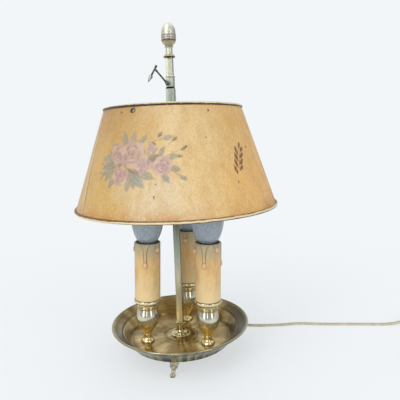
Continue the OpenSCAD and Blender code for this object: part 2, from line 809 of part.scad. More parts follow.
module slider_collar() {
    color("lightgray") rotate([0, 0, -stem_turn]) difference() {
        union() {
            translate([0, 0, collar_z]) square_bar(collar_side, collar_h);
            translate([0, 0, collar_top_z - collar_bead_h])
                square_bar(collar_bead_side, collar_bead_h);
            translate([-key_shift, 0, key_z]) rotate([90, 0, 0])
                cylinder(r = boss_r, h = collar_side / 2 + boss_h);
        }
        translate([0, 0, collar_z - 1]) square_bar(slot_side, collar_h + 2);
        translate([-key_shift, 0, key_z]) rotate([90, 0, 0])
            cylinder(r = key_screw_r + thread_gap, h = collar_side);
    }
}

/* Arrow key: its screw presses on the stem's front face */

key_hub_from = collar_side / 2 + boss_h + 0.3;
key_plane = key_hub_from + key_hub_h / 2;
arm_end = key_arm_l * [cos(key_angle), sin(key_angle)];
arrow_way = key_angle + arrow_cant;

// A piece in the key's plane, with its own +Z along the given way
module in_key_plane(place, way) {
    rotate([0, 0, -stem_turn]) translate([place[0] - key_shift, -key_plane, key_z + place[1]])
        rotate([0, 90 - way, 0]) children();
}

module on_key_axis() {
    rotate([0, 0, -stem_turn]) translate([-key_shift, 0, key_z]) rotate([90, 0, 0]) children();
}

module key_screw() {
    color("lightgray") on_key_axis() {
        translate([0, 0, stem_side / 2 + run_gap])
            cylinder(r = key_screw_r, h = key_hub_from - stem_side / 2 - run_gap);
        translate([0, 0, key_hub_from]) cylinder(r = key_hub_r, h = key_hub_h);
    }
}

module key_arm() {
    color("lightgray") difference() {
        in_key_plane([0, 0], key_angle) translate([0, 0, key_hub_r * 0.9])
            cylinder(r = key_arm_r, h = key_arm_l - key_hub_r * 0.9 - arrow_shaft_r * 0.9, $fn = 32);
        on_key_axis() translate([0, 0, key_hub_from - 1]) cylinder(r = key_hub_r, h = key_hub_h + 2);
        in_key_plane(arm_end, arrow_way) translate([0, 0, -arrow_tail_l])
            cylinder(r = arrow_shaft_r, h = arrow_l);
    }
}

module key_arrow() {
    shaft_l = arrow_l - arrow_head_l;
    color("lightgray") in_key_plane(arm_end, arrow_way) translate([0, 0, -arrow_tail_l]) {
        cylinder(r = arrow_shaft_r, h = shaft_l + 1);
        rotate_extrude() polygon([
            [0, shaft_l], [arrow_shaft_r, shaft_l], [arrow_head_r, shaft_l - 0.8],
            [arrow_head_r * 0.72, shaft_l + 2.2], [0, arrow_l]
        ]);
    }
}

module finial() {
    bore = finial_pin_r + thread_gap;
    dome_h = finial_h * 0.665;
    outline = concat(
        [[bore, 0], [finial_r * 0.79, 0], [finial_r * 0.79, finial_h * 0.03]],
        bend_points([finial_r * 0.74, finial_h * 0.045], [finial_r * 0.46, finial_h * 0.1],
            [finial_r * 0.46, finial_h * 0.17], 5),
        [[finial_r * 0.45, finial_h * 0.26], [finial_r * 0.56, finial_h * 0.29],
         [finial_r * 0.56, finial_h * 0.32], [finial_r * 0.5, finial_h * 0.33]],
        bend_points([finial_r * 0.6, finial_h * 0.36], [finial_r * 0.9, finial_h * 0.41],
            [finial_r * 0.97, finial_h * 0.49], 5),
        [[finial_r, finial_h * 0.5], [finial_r, finial_h * 0.535],
         [finial_r * 0.96, finial_h * 0.55], [finial_r, finial_h * 0.57], [finial_r, finial_h * 0.65]],
        [for (i = [0 : 10]) let (a = 9 * i)
            [finial_r * 0.97 * cos(a), dome_h + (finial_h - dome_h) * pow(sin(a), 0.9)]],
        [[0, finial_pin_l + 1], [bore, finial_pin_l + 1]]);
    color("cornsilk") translate([0, 0, stem_top_z + run_gap]) rotate_extrude() polygon(outline);
}

/* Cord with its switch, coil and plug */

module cord_run() { color("khaki") flat_cord(smooth_line(RUN_ROUTE, 2)); }
module cord_link() { color("khaki") flat_cord(smooth_line(LINK_ROUTE, 2)); }
module cord_tail() { color("khaki") flat_cord(smooth_line(TAIL_ROUTE, 2)); }

tie_t = 0.8;
bundle_w = coil_across * cord_t + 0.8;
bundle_h = coil_high * cord_w + 0.4;

module cord_coil() {
    color("khaki") translate([coil_x, coil_y, tie_t]) rotate_extrude()
        translate([coil_r - bundle_w / 2, 0]) square([bundle_w, bundle_h]);
}

module coil_tie() {
    tie_w = 5;
    color("dimgray") translate([coil_x, coil_y + coil_r, 0]) difference() {
        translate([-tie_w / 2, -bundle_w / 2 - tie_t - 0.5, 0])
            cube([tie_w, bundle_w + 2 * tie_t + 1, bundle_h + 2 * tie_t]);
        translate([-tie_w, -bundle_w / 2 - 0.5, tie_t]) cube([2 * tie_w, bundle_w + 1, bundle_h]);
    }
}

switch_wall = 1.8;
switch_split = 6.5;
rocker_l = 13.4;
rocker_w = 9;
rocker_up = 3.6;
rocker_down = 3;
rocker_tilt = 7;
rocker_pin_r = 1;
rocker_x = switch_x + switch_l / 2;
rocker_z = switch_h - 1.6;
window_l = rocker_l + 1.8;
window_w = rocker_w + 0.8;

ears_w = window_w + 3;
ear_drop = 2.2;

module on_rocker_axis() {
    translate([rocker_x, switch_y, rocker_z]) rotate([90, 0, 0]) children();
}

module switch_outline(inset = 0) {
    end_w = switch_w * 0.56;
    w = switch_w / 2 - inset;
    e = end_w / 2 - inset;
    polygon([
        [inset, -e], [8, -w], [switch_l - 8, -w], [switch_l - inset, -e],
        [switch_l - inset, e], [switch_l - 8, w], [8, w], [inset, e]
    ]);
}

module switch_shell(z, h, floor_at) {
    translate([switch_x, switch_y, z]) difference() {
        linear_extrude(h) switch_outline();
        translate([0, 0, floor_at]) linear_extrude(h) switch_outline(switch_wall);
    }
}

module switch_screw_posts(r, z, h) {
    for (x = [13, switch_l - 13]) translate([switch_x + x, switch_y, z]) cylinder(r = r, h = h);
}

module switch_base() {
    color("black") difference() {
        union() {
            switch_shell(0, switch_split, switch_wall);
            switch_screw_posts(2.6, 1, switch_split - 1);
        }
        switch_screw_posts(1.3, -1, switch_split + 2);
    }
}

module switch_cover() {
    color("black") difference() {
        union() {
            switch_shell(switch_split, switch_h - switch_split, -switch_wall);
            switch_screw_posts(2.6, switch_split, switch_h - switch_split - 1);
            translate([rocker_x - 2 * rocker_pin_r, switch_y - ears_w / 2, rocker_z - ear_drop])
                cube([4 * rocker_pin_r, ears_w, ear_drop]);
        }
        translate([rocker_x - window_l / 2, switch_y - window_w / 2, switch_split])
            cube([window_l, window_w, switch_h]);
        on_rocker_axis() cylinder(r = rocker_pin_r + run_gap, h = ears_w, center = true);
        switch_screw_posts(1.3, switch_split - 1, 4);
    }
}

module switch_screws() {
    color("silver") switch_screw_posts(1.25, 0.4, switch_split + 2);
}

module switch_contacts() {
    color("orange") for (side = [-1, 1])
        translate([rocker_x + side * 6 - 2, switch_y - 2, switch_wall]) cube([4, 4, 2.6]);
}

module switch_rocker() {
    color("dimgray") translate([rocker_x, switch_y, rocker_z]) rotate([0, rocker_tilt, 0]) {
        rotate([90, 0, 0]) linear_extrude(rocker_w, center = true) polygon([
            [-rocker_l / 2, -1], [-2, -rocker_down], [2, -rocker_down], [rocker_l / 2, -1],
            [rocker_l / 2, rocker_up], [0, rocker_up - 0.8], [-rocker_l / 2, rocker_up]
        ]);
    }
    color("dimgray") on_rocker_axis()
        cylinder(r = rocker_pin_r, h = ears_w - 2 * run_gap, center = true);
}

module plug_body() {
    face = plug_w / 2;
    tail = 7;
    shoulder = plug_l - 8;
    waist = 14;
    color("black") translate([plug_x, plug_y, 0]) linear_extrude(plug_h) polygon([
        [0, -tail / 2 - 0.5], [0, tail / 2 + 0.5], [-waist, tail / 2 + 2.5], [-shoulder, face - 1],
        [-plug_l + 2, face], [-plug_l, face - 2], [-plug_l, 2 - face], [-plug_l + 2, -face],
        [-shoulder, 1 - face], [-waist, -tail / 2 - 2.5]
    ]);
}

module plug_pins() {
    pin_r = 2;
    color("silver") for (side = [-1, 1])
        translate([plug_x - plug_l, plug_y + side * 9.3, plug_h / 2]) rotate([0, -90, 0]) {
            cylinder(r = pin_r, h = pin_l - pin_r);
            translate([0, 0, pin_l - pin_r]) sphere(r = pin_r);
        }
}

tray();
foot_front();
foot_right();
foot_left();
foot_studs();
escutcheon();
stem();
stem_washer();
stem_nut();
cover_plate();
cover_nut();
candle_cup_left();
candle_cup_right();
candle_cup_back();
cup_washers();
cup_nuts();
holder_nipples();
lampholder_left();
lampholder_right();
lampholder_back();
holder_shells();
holder_contacts();
holder_leads();
candle_sleeve_left();
candle_sleeve_right();
candle_sleeve_back();
bulb_cap_left();
bulb_cap_right();
bulb_cap_back();
bulb_glass_left();
bulb_glass_right();
bulb_glass_back();
terminal_block();
supply_lead();
cord_bush();
shade();
shade_top_rim();
shade_bottom_rim();
spider();
spider_screws();
spider_nuts();
slider_tube();
slider_collar();
key_screw();
key_arm();
key_arrow();
finial();
cord_run();
switch_base();
switch_cover();
switch_contacts();
switch_rocker();
switch_screws();
cord_link();
cord_coil();
coil_tie();
cord_tail();
plug_body();
plug_pins();
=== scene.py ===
import logging
import math
from contextlib import contextmanager
from dataclasses import dataclass, field, replace
from enum import Enum
from typing import Any, Callable, Iterator, Sequence

import bmesh
import bpy
from mathutils import Matrix, Vector, noise


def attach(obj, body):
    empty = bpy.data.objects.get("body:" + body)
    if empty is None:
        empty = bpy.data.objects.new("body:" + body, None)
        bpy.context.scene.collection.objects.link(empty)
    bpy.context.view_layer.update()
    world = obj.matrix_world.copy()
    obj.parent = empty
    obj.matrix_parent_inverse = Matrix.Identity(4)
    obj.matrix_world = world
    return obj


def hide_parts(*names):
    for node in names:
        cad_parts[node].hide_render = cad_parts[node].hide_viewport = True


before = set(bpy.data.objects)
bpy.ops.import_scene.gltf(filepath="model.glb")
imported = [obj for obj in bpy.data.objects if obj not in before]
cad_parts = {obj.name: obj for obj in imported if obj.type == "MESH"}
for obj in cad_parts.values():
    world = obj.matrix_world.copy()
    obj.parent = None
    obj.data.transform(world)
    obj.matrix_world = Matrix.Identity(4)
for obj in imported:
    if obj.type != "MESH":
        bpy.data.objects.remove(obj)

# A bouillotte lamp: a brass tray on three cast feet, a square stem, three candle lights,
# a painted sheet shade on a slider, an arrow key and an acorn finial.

LOG = logging.getLogger("bouillotte_lamp")
MM = 0.001
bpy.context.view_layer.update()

Point = tuple[float, float, float]
Place = tuple[float, float]
Outline = list[Place]
Bands = tuple[tuple[float, str], ...]
Piece = bpy.types.Object
Material = bpy.types.Material
Socket = bpy.types.NodeSocket
Face = bmesh.types.BMFace


class Body(Enum):
    """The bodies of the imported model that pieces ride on."""

    BASE = "base"
    SHADE = "shade_carrier"
    KEY = "arrow_key"
    LEFT_BULB = "bulb_left"
    RIGHT_BULB = "bulb_right"
    BACK_BULB = "bulb_back"
    FINIAL = "finial"
    ROCKER = "rocker"


# Colour and node tools


def linear(colour: str) -> tuple[float, float, float, float]:
    """Turns an sRGB hex colour into linear light.

    Args:
        colour: The colour as "#RRGGBB".

    Returns:
        Red, green, blue and a full alpha.
    """
    parts = [int(colour[i:i + 2], 16) / 255 for i in (1, 3, 5)]
    light = [c / 12.92 if c <= 0.04045 else ((c + 0.055) / 1.055) ** 2.4 for c in parts]
    return (light[0], light[1], light[2], 1.0)


class Palette:
    """A node tree, with the few tools that lay colours and patterns in it.

    Colours are hex values, and a pattern's sizes are real ones in millimetres.
    """

    START = {"Mix": {"data_type": "RGBA"}, "AmbientOcclusion": {"samples": 6}}

    def __init__(self, tree: bpy.types.NodeTree) -> None:
        """Takes a tree, and the shader that it may hold."""
        self.tree = tree
        self.shader = tree.nodes.get("Principled BSDF")

    def feed(self, socket: Socket, value: Any) -> None:
        """Gives an input the socket that feeds it, or its own value.

        Args:
            socket: The input.
            value: A socket, a number, a vector, a hex colour, or None to leave it alone.
        """
        if isinstance(value, Socket):
            self.tree.links.new(value, socket)
        elif value is not None:
            socket.default_value = linear(value) if isinstance(value, str) else value

    def add(self, kind: str, *inputs: Any, output: str | None = None, stops: Bands = (),
            **settings: Any) -> Socket | None:
        """Adds a node with its settings and what feeds it.

        Args:
            kind: The node's type, without the ShaderNode that it begins with.
            *inputs: What the node's open inputs take, in their order.
            output: The name of the output that is wanted, if it isn't the first.
            stops: A colour ramp's positions and colours.
            **settings: Values of the node's properties, or of inputs by their name.

        Returns:
            The output that is wanted, if the node has any.
        """
        node = self.tree.nodes.new("ShaderNode" + kind)
        for key, value in {**self.START.get(kind, {}), **settings}.items():
            if key in node.inputs:
                self.feed(node.inputs[key], value)
            else:
                setattr(node, key, value)
        while stops and len(node.color_ramp.elements) < len(stops):
            node.color_ramp.elements.new(0.5)
        for i, (position, colour) in enumerate(stops):
            node.color_ramp.elements[i].position = position
            node.color_ramp.elements[i].color = linear(colour)
        for socket, value in zip([s for s in node.inputs if s.enabled], inputs):
            self.feed(socket, value)
        outputs = [s for s in node.outputs if s.enabled and output in (None, s.name)]
        return outputs[0] if outputs else None

    def place(self, centre: Point = (0, 0, 0), lean: float = 0.0) -> Socket:
        """Gives the place on a piece, in metres.

        Args:
            centre: The pattern's centre in the row frame, in millimetres.
            lean: How far the piece leans towards +X, in degrees.

        Returns:
            The place as a vector.
        """
        coords = self.add("TexCoord", output="Object")
        moved = self.add("VectorMath", coords, tuple(c * MM for c in centre),
                         operation="SUBTRACT")
        return self.add("Mapping", moved, None, (0.0, math.radians(-lean), 0.0))

    def speckle(self, where: Socket, size_mm: float, detail: float = 3.0,
                stretch: Point = (1, 1, 1)) -> Socket:
        """Gives a noise whose patches are about as wide as a real size."""
        scaled = self.add("Mapping", where, None, None, stretch)
        return self.add("TexNoise", scaled, 1 / (size_mm * MM), detail, 0.55)

    def facing(self, axis: str) -> Socket:
        """Gives how far the surface faces along an axis, from -1 to 1."""
        normal = self.add("NewGeometry", output="Normal")
        return self.add("SeparateXYZ", normal, output=axis)

    def bump(self, height: Socket, strength: float, depth_mm: float) -> None:
        """Gives the shader a bump, on top of one that it already has.

        Args:
            height: The bump's pattern.
            strength: How much of it shows, from 0 to 1.
            depth_mm: Its real depth.
        """
        normal = self.shader.inputs["Normal"]
        below = normal.links[0].from_socket if normal.is_linked else None
        self.feed(normal, self.add("Bump", strength, depth_mm * MM, Height=height,
                                   Normal=below))

    def coat(self, colour: Socket, roughness: Socket | float, **others: Any) -> None:
        """Gives the shader its colour and roughness, and other inputs by their name."""
        for name, value in {"Base_Color": colour, "Roughness": roughness, **others}.items():
            self.feed(self.shader.inputs[name.replace("_", " ")], value)


# Finishes


@dataclass(frozen=True)
class Finish:
    """A finish by its name. Each kind of finish lays its own pattern."""

    name: str

    def lay(self, p: Palette) -> None:
        """Lays the pattern on the palette's shader."""

    def make(self) -> Material:
        """Makes a material of the finish.

        Returns:
            The material.
        """
        material = bpy.data.materials.new(self.name)
        material.use_nodes = True
        self.lay(Palette(material.node_tree))
        return material


@dataclass(frozen=True)
class AgedBrass(Finish):
    """Cast or turned brass that was polished long ago.

    It is lighter and darker in patches, tarnished in pores, and darkened in corners as painted
    shade.
    Where set, it also has painted shade on faces that look down, painted sheen in fans, and on the
    tray dark rings and a painted highlight on its rim's crest.
    """

    bright: str = "#CFBE90"
    dull: str = "#AD9965"
    tarnish: str = "#574B31"
    roughness: float = 0.24
    patch_mm: float = 9.0
    ring_mm: float = 0.0
    dent: float = 0.25
    corner_shade: float = 0.7
    underside_shade: float = 0.0
    fan_mm: float = 0.0
    streak_mm: float = 5.0
    fan_r: float = 60.0
    edge_r: float = 0.0
    metallic: float = 1.0
    underside_shade_dark: str = "#242B1D"
    underside_shade_gold: str = "#8F8654"
    darker_tone: str = "#3E3520"
    crest_highlight: str = "#A5A58C"
    # Darkening by radius share: the floor's groove and crease, and the floor's corner and the wall
    # as painted shade.
    dark_rings: Bands = (
        (0.0, "#000000"), (0.03, "#A0A0A0"), (0.07, "#000000"), (0.58, "#000000"),
        (0.635, "#D8D8D8"), (0.66, "#505050"), (0.745, "#909090"), (0.765, "#000000"),
        (0.79, "#000000"), (0.81, "#FFFFFF"), (0.84, "#A0A0A0"), (0.93, "#D0D0D0"),
        (0.955, "#4A4A4A"), (1.0, "#3A3A3A"))

    def fans(self, p: Palette, where: Socket, width_mm: float) -> Socket:
        """Gives a noise in fans from the middle.

        Args:
            p: The palette.
            where: The place vector.
            width_mm: A fan's width where the floor ends.

        Returns:
            The noise's value.
        """
        flat = p.add("VectorMath", where, (1.0, 1.0, 0.0), operation="MULTIPLY")
        way = p.add("VectorMath", flat, operation="NORMALIZE")
        return p.speckle(way, width_mm / (self.fan_r * MM), 2.0)

    def paint_underside_shade(self, p: Palette, colour: Socket, where: Socket) -> Socket:
        """Paints shade on the faces that look down, dark with golden streaks that run out from the
        middle.

        Args:
            p: The palette.
            colour: The colour so far.
            where: The place vector.

        Returns:
            The new colour.
        """
        streaks = p.add("MapRange", self.fans(p, where, self.streak_mm), 0.42, 0.6)
        underside_tone = p.add("Mix", streaks, self.underside_shade_dark, self.underside_shade_gold)
        down = p.add("MapRange", p.facing("Z"), 0.05, -0.3, 0.0, self.underside_shade)
        return p.add("Mix", down, colour, underside_tone)

    def edge(self, p: Palette, colour: Socket, where: Socket) -> Socket:
        """Darkens the tray in rings by radius and lightens its rim's crest as a painted highlight.
        The rings darken the floor's groove and crease, and darken the floor's corner and the wall
        as painted shade, less at the back and more at the left and right.

        Args:
            p: The palette.
            colour: The colour so far.
            where: The place vector.

        Returns:
            The new colour.
        """
        flat = p.add("VectorMath", where, (1.0, 1.0, 0.0), operation="MULTIPLY")
        far = p.add("VectorMath", flat, operation="LENGTH")
        share = p.add("MapRange", far, 0.2 * self.edge_r * MM, self.edge_r * MM)
        darker_tone = p.add("ValToRGB", share, stops=self.dark_rings)
        back = p.add("SeparateXYZ", where, output="Y")
        # Painted shade: the wall darkens less at the back and more at the left and right, where the
        # walls reflect the dark room.
        rings_lighter_at_back = p.add("Math", darker_tone, p.add("MapRange", back, -0.01, 0.05, 1.0, 0.35),
                       operation="MULTIPLY")
        across = p.add("SeparateXYZ", where, output="X")
        side_wall_shade = p.add("Math", p.add("MapRange", across, -0.06, -0.046, 0.25, 0.0),
                      p.add("MapRange", across, 0.046, 0.06, 0.0, 0.5), operation="ADD")
        wall_darkening = p.add("Math", rings_lighter_at_back, side_wall_shade, operation="ADD")
        # Painted highlight along the rim's crest.
        crest_highlight = p.add("MapRange", share, 0.955, 0.975, 0.0, 0.75)
        return p.add("Mix", crest_highlight, p.add("Mix", wall_darkening, colour, self.darker_tone), self.crest_highlight)

    def lay(self, p: Palette) -> None:
        """Lays the polish in patches, painted sheen in fans, pores, the tray's rings and crest
        highlight, painted shade on faces that look down, and painted shade in corners.

        Args:
            p: The palette.
        """
        where = p.place()
        patches = p.speckle(where, self.patch_mm, 4.0)
        colour = p.add("Mix", p.add("MapRange", patches, 0.36, 0.62), self.dull, self.bright)
        # Painted sheen: the spun floor lighter and darker in fans from the middle.
        if self.fan_mm:
            fans = p.add("MapRange", self.fans(p, where, self.fan_mm), 0.42, 0.58, 0.75, 0.0)
            colour = p.add("Mix", fans, colour, self.dull)
        pores = p.add("MapRange", p.speckle(where, 1.3, 2.0), 0.6, 0.74, 0.0, 0.5)
        colour = p.add("Mix", pores, colour, self.tarnish)
        metallic = self.metallic
        if self.edge_r:
            colour = self.edge(p, colour, where)
            back = p.add("SeparateXYZ", where, output="Y")
            metallic = p.add("MapRange", back, 0.03, 0.055, self.metallic, 0.4)
        # Painted shade on faces that look down.
        if self.underside_shade:
            colour = self.paint_underside_shade(p, colour, where)
        # Painted shade: darker in corners, where the AO node finds them.
        corners = p.add("MapRange", p.add("AmbientOcclusion", None, 5.0 * MM, output="AO"),
                        0.25, 0.85, self.corner_shade, 0.0)
        rough = p.add("MapRange", patches, 0.3, 0.7, self.roughness + 0.1,
                      self.roughness - 0.04)
        p.coat(p.add("Mix", corners, colour, self.tarnish), rough, Metallic=metallic)
        p.bump(p.speckle(where, 2.2), self.dent, 0.06)
        if self.ring_mm:
            rings = p.add("TexWave", where, math.tau / 20 / (self.ring_mm * MM), 0.6,
                          output="Fac", wave_type="RINGS", rings_direction="Z")
            p.bump(rings, 0.35, 0.03)


@dataclass(frozen=True)
class BandedBrass(Finish):
    """Turned brass coloured in bands by height.

    It is cream on its swells and pinkish grey on its ringed band. Its bands also hold painted
    light: dark lines of painted shade under rings and edges, and on the cups pale and gold bands as
    painted reflections. Its sides and corners can be darkened as painted shade.
    """

    low_z: float
    high_z: float
    bands: Bands
    tarnish: str = "#5F5745"
    roughness: float = 0.3
    patch_mm: float = 4.0
    metallic: float = 0.9
    centre: Point = (0, 0, 0)
    lean: float = 0.0
    shaded_sides: tuple[float, float] = (0.0, 0.0)
    wear: float = 0.3

    def lay(self, p: Palette) -> None:
        """Lays the bands, then the wear, and painted shade on the sides and in the corners.

        Args:
            p: The palette.
        """
        where = p.place(self.centre, self.lean)
        height = p.add("MapRange", p.add("SeparateXYZ", where, output="Z"),
                       self.low_z * MM, self.high_z * MM)
        patches = p.speckle(where, self.patch_mm)
        colour = p.add("Mix", p.add("MapRange", patches, 0.5, 0.8, 0.0, self.wear),
                       p.add("ValToRGB", height, stops=self.bands), self.tarnish)
        # Painted shade: the left and right sides darkened.
        if any(self.shaded_sides):
            left, right = self.shaded_sides
            across = p.facing("X")
            darker_share = p.add("Math", p.add("MapRange", across, -0.97, -0.7, left, 0.0),
                            p.add("MapRange", across, 0.6, 0.95, 0.0, right), operation="ADD")
            colour = p.add("Mix", darker_share, colour, self.tarnish)
        # Painted shade in corners, found by the AO node.
        corners = p.add("MapRange", p.add("AmbientOcclusion", None, 3.0 * MM, output="AO"),
                        0.3, 0.9, 0.85, 0.0)
        rough = p.add("MapRange", patches, 0.3, 0.7, self.roughness + 0.12, self.roughness)
        p.coat(p.add("Mix", corners, colour, self.tarnish), rough, Metallic=self.metallic)
        p.bump(p.speckle(where, 2.4, 2.0), 0.4 * self.wear, 0.03)


@dataclass(frozen=True)
class PlatedSteel(Finish):
    """Zinc- or nickel-plated steel.

    It is a cool, slightly cloudy metal with faint drawing lines.
    """

    colour: str = "#B9BAB4"
    cloud: str = "#8E8F88"
    roughness: float = 0.32

    def lay(self, p: Palette) -> None:
        """Lays soft clouds over drawing lines.

        Args:
            p: The palette.
        """
        where = p.place()
        cloudy = p.speckle(where, 3.0)
        p.coat(p.add("Mix", p.add("MapRange", cloudy, 0.35, 0.65), self.cloud, self.colour),
               p.add("MapRange", cloudy, 0.3, 0.7, self.roughness + 0.1, self.roughness),
               Metallic=1.0)
        p.bump(p.speckle(where, 0.8, 2.0, (1, 1, 0.2)), 0.2, 0.02)


@dataclass(frozen=True)
class MouldedPlastic(Finish):
    """Injection-moulded or pressed plastic, from Bakelite to PVC.

    It has a soft skin gloss over a fine grain.
    """

    colour: str
    shade: str
    roughness: float = 0.4
    grain_mm: float = 0.7

    def lay(self, p: Palette) -> None:
        """Lays soft clouds over the grain.

        Args:
            p: The palette.
        """
        where = p.place()
        cloudy = p.speckle(where, 6.0)
        p.coat(p.add("Mix", p.add("MapRange", cloudy, 0.35, 0.65), self.shade, self.colour),
               p.add("MapRange", cloudy, 0.3, 0.7, self.roughness + 0.08, self.roughness),
               IOR=1.5)
        p.bump(p.speckle(where, self.grain_mm, 2.0), 0.3, 0.03)


@dataclass(frozen=True)
class StemPlate(Finish):
    """Square brass bar whose pale plating has thinned towards the foot.

    It is silvery green above and pale gold towards the foot, partly where the plating is worn and
    partly as painted light. Just under the shade it is darkened as the shade's painted shadow, and
    its +X side and its corners are darkened as painted shade.
    """

    pale: str = "#C6C6B0"
    green: str = "#A9B1A2"
    gold: str = "#F6EBC4"
    shadow_below_shade: str = "#5F5846"
    tarnish: str = "#54543F"
    shaded_side: str = "#5A5F50"
    corner: str = "#23261C"

    def lay(self, p: Palette) -> None:
        """Lays the plating's tone by height with the shade's painted shadow, then spots, and
        painted shade on the +X side and in the corners.

        Args:
            p: The palette.
        """
        where = p.place()
        streak = p.speckle(where, 2.5, 3.0, (1, 1, 0.06))
        height = p.add("MapRange", p.add("SeparateXYZ", where, output="Z"), 0.03, 0.32)
        # Tone by height: gold at the foot, partly painted light, and a dark band just under the
        # shade as its painted shadow.
        tone = p.add("ValToRGB", height, stops=(
            (0.0, self.gold), (0.12, self.gold), (0.3, self.green), (0.42, self.shadow_below_shade),
            (0.5, self.shadow_below_shade), (0.6, self.green), (0.88, self.pale)))
        colour = p.add("Mix", p.add("MapRange", streak, 0.38, 0.6, 0.45, 0.0), tone, self.green)
        spots = p.add("MapRange", p.speckle(where, 1.4, 2.0), 0.6, 0.75, 0.0, 0.5)
        colour = p.add("Mix", spots, colour, self.tarnish)
        # Painted shade on the side that faces +X.
        right = p.add("MapRange", p.facing("X"), 0.4, 0.85, 0.0, 0.8)
        colour = p.add("Mix", right, colour, self.shaded_side)
        # Painted shade in corners, found by the AO node.
        corners = p.add("MapRange", p.add("AmbientOcclusion", None, 3.0 * MM, output="AO"),
                        0.35, 0.9, 0.95, 0.0)
        p.coat(p.add("Mix", corners, colour, self.corner),
               p.add("MapRange", streak, 0.3, 0.7, 0.42, 0.28), Metallic=0.75)
        p.bump(p.speckle(where, 0.9, 2.0, (1, 1, 0.05)), 0.2, 0.03)


@dataclass(frozen=True)
class PaintedSheet(Finish):
    """Oil paint on tinned sheet, uneven mustard with a pale band of painted highlight, and worn
    painted flowers.

    It is a satin mottled skin, with fine grain, stains and small chips.
    """

    name: str = "mustard_painted_sheet"
    mustard: str = "#C5A25F"
    cream: str = "#D9C091"
    honey: str = "#D6B478"
    orange: str = "#E4B062"
    umber: str = "#C08F48"
    bloom: str = "#CFBF9F"
    lap_sheen: str = "#BCAB86"
    seam: str = "#8A6440"
    rust: str = "#B98145"
    fleck: str = "#EADCBB"
    brown: str = "#A47B4A"
    stain: str = "#8E6B3D"
    bloom_at: Point = (-22.0, -96.0, 186.0)
    bloom_r: float = 34.0

    def ground(self, p: Palette, where: Socket) -> Socket:
        """The old varnish by X: mustard on the left, a pale cream band in the middle as a painted
        highlight, honey and orange on the right, partly painted light; darker brown near the top on
        the left.

        Args:
            p: The palette.
            where: The place vector.

        Returns:
            The colour.
        """
        cloud = p.add("Math", p.speckle(where, 30.0, 4.0), 0.5, operation="SUBTRACT")
        drift = p.add("Math", cloud, 0.07, operation="MULTIPLY")
        band = p.add("Math", p.add("SeparateXYZ", where, output="X"), drift, operation="ADD")
        # Painted light: the cream band in the middle is a painted highlight, and the change from
        # side to side is partly painted light.
        colour = p.add("ValToRGB", p.add("MapRange", band, -0.105, 0.105), stops=(
            (0.0, self.mustard), (0.31, self.mustard), (0.5, self.cream),
            (0.66, self.honey), (0.9, self.orange), (1.0, self.umber)))
        height = p.add("Math", p.add("SeparateXYZ", where, output="Z"), drift, operation="ADD")
        # Darker brown near the top on the left.
        darker_share = p.add("Math", p.add("MapRange", height, 0.22, 0.266, 0.0, 0.9),
                        p.add("MapRange", band, -0.055, -0.005, 1.0, 0.15),
                        operation="MULTIPLY")
        colour = p.add("Mix", darker_share, colour, self.brown)
        off = p.add("VectorMath", where, tuple(c * MM for c in self.bloom_at),
                    operation="DISTANCE")
        spread = p.add("Math", off, drift, operation="ADD")
        pale = p.add("MapRange", spread, 0.35 * self.bloom_r * MM, self.bloom_r * MM, 0.75, 0.0)
        return p.add("Mix", pale, colour, self.bloom)

    def lay(self, p: Palette) -> None:
        """Lays coat on coat: the ground, smears, grain, the lap's pale tint as painted sheen, rust,
        flecks and flowers.

        Args:
            p: The palette.
        """
        where = p.place()
        up = p.add("SeparateXYZ", where, output="Z")
        smear = p.speckle(where, 12.0, 3.0, (1.5, 1.5, 0.6))
        lapped, seamed, painted = (p.add("Attribute", output="Fac", attribute_name=name)
                                   for name in ("lap_sheen", "seam", "cover"))
        rusty = p.add("Math", p.add("MapRange", up, 0.169, 0.182, 0.8, 0.0),
                      p.add("MapRange", p.speckle(where, 16.0), 0.35, 0.6),
                      operation="MULTIPLY")
        flecks = p.add("Math",
                       p.add("MapRange", p.speckle(where, 1.4, 2.0), 0.62, 0.68, 0.0, 0.8),
                       p.add("MapRange", up, 0.169, 0.19, 1.0, 0.0), operation="MULTIPLY")
        wear = p.add("MapRange", p.speckle(where, 1.8, 4.0), 0.36, 0.62, 1.0, 0.72)
        flowers = p.add("Attribute", output="Color", attribute_name="flower")
        colour = self.ground(p, where)
        for share, coat in (
                (p.add("MapRange", smear, 0.45, 0.7, 0.0, 0.42), self.umber),
                (p.add("MapRange", p.speckle(where, 2.4, 4.0), 0.4, 0.68, 0.0, 0.26),
                 self.cream),
                (p.add("MapRange", p.speckle(where, 1.6, 2.0, (1.0, 1.0, 0.5)),
                       0.42, 0.65, 0.0, 0.16), self.stain),
                (p.add("MapRange", p.speckle(where, 1.2), 0.52, 0.7, 0.0, 0.34), self.stain),
                # Painted sheen: the pale tint on the lap strip.
                (p.add("MapRange", lapped, 0.0, 1.0, 0.0, 0.45), self.lap_sheen),
                (p.add("MapRange", seamed, 0.2, 1.0, 0.0, 0.7), self.seam),
                (rusty, self.rust), (flecks, self.fleck),
                (p.add("Math", painted, wear, operation="MULTIPLY"), flowers)):
            colour = p.add("Mix", share, colour, coat)
        p.coat(colour, p.add("MapRange", smear, 0.3, 0.7, 0.42, 0.58), IOR=1.5)
        p.bump(p.speckle(where, 1.2), 0.3, 0.08)
        p.bump(p.speckle(where, 26.0, 2.0), 0.35, 0.5)


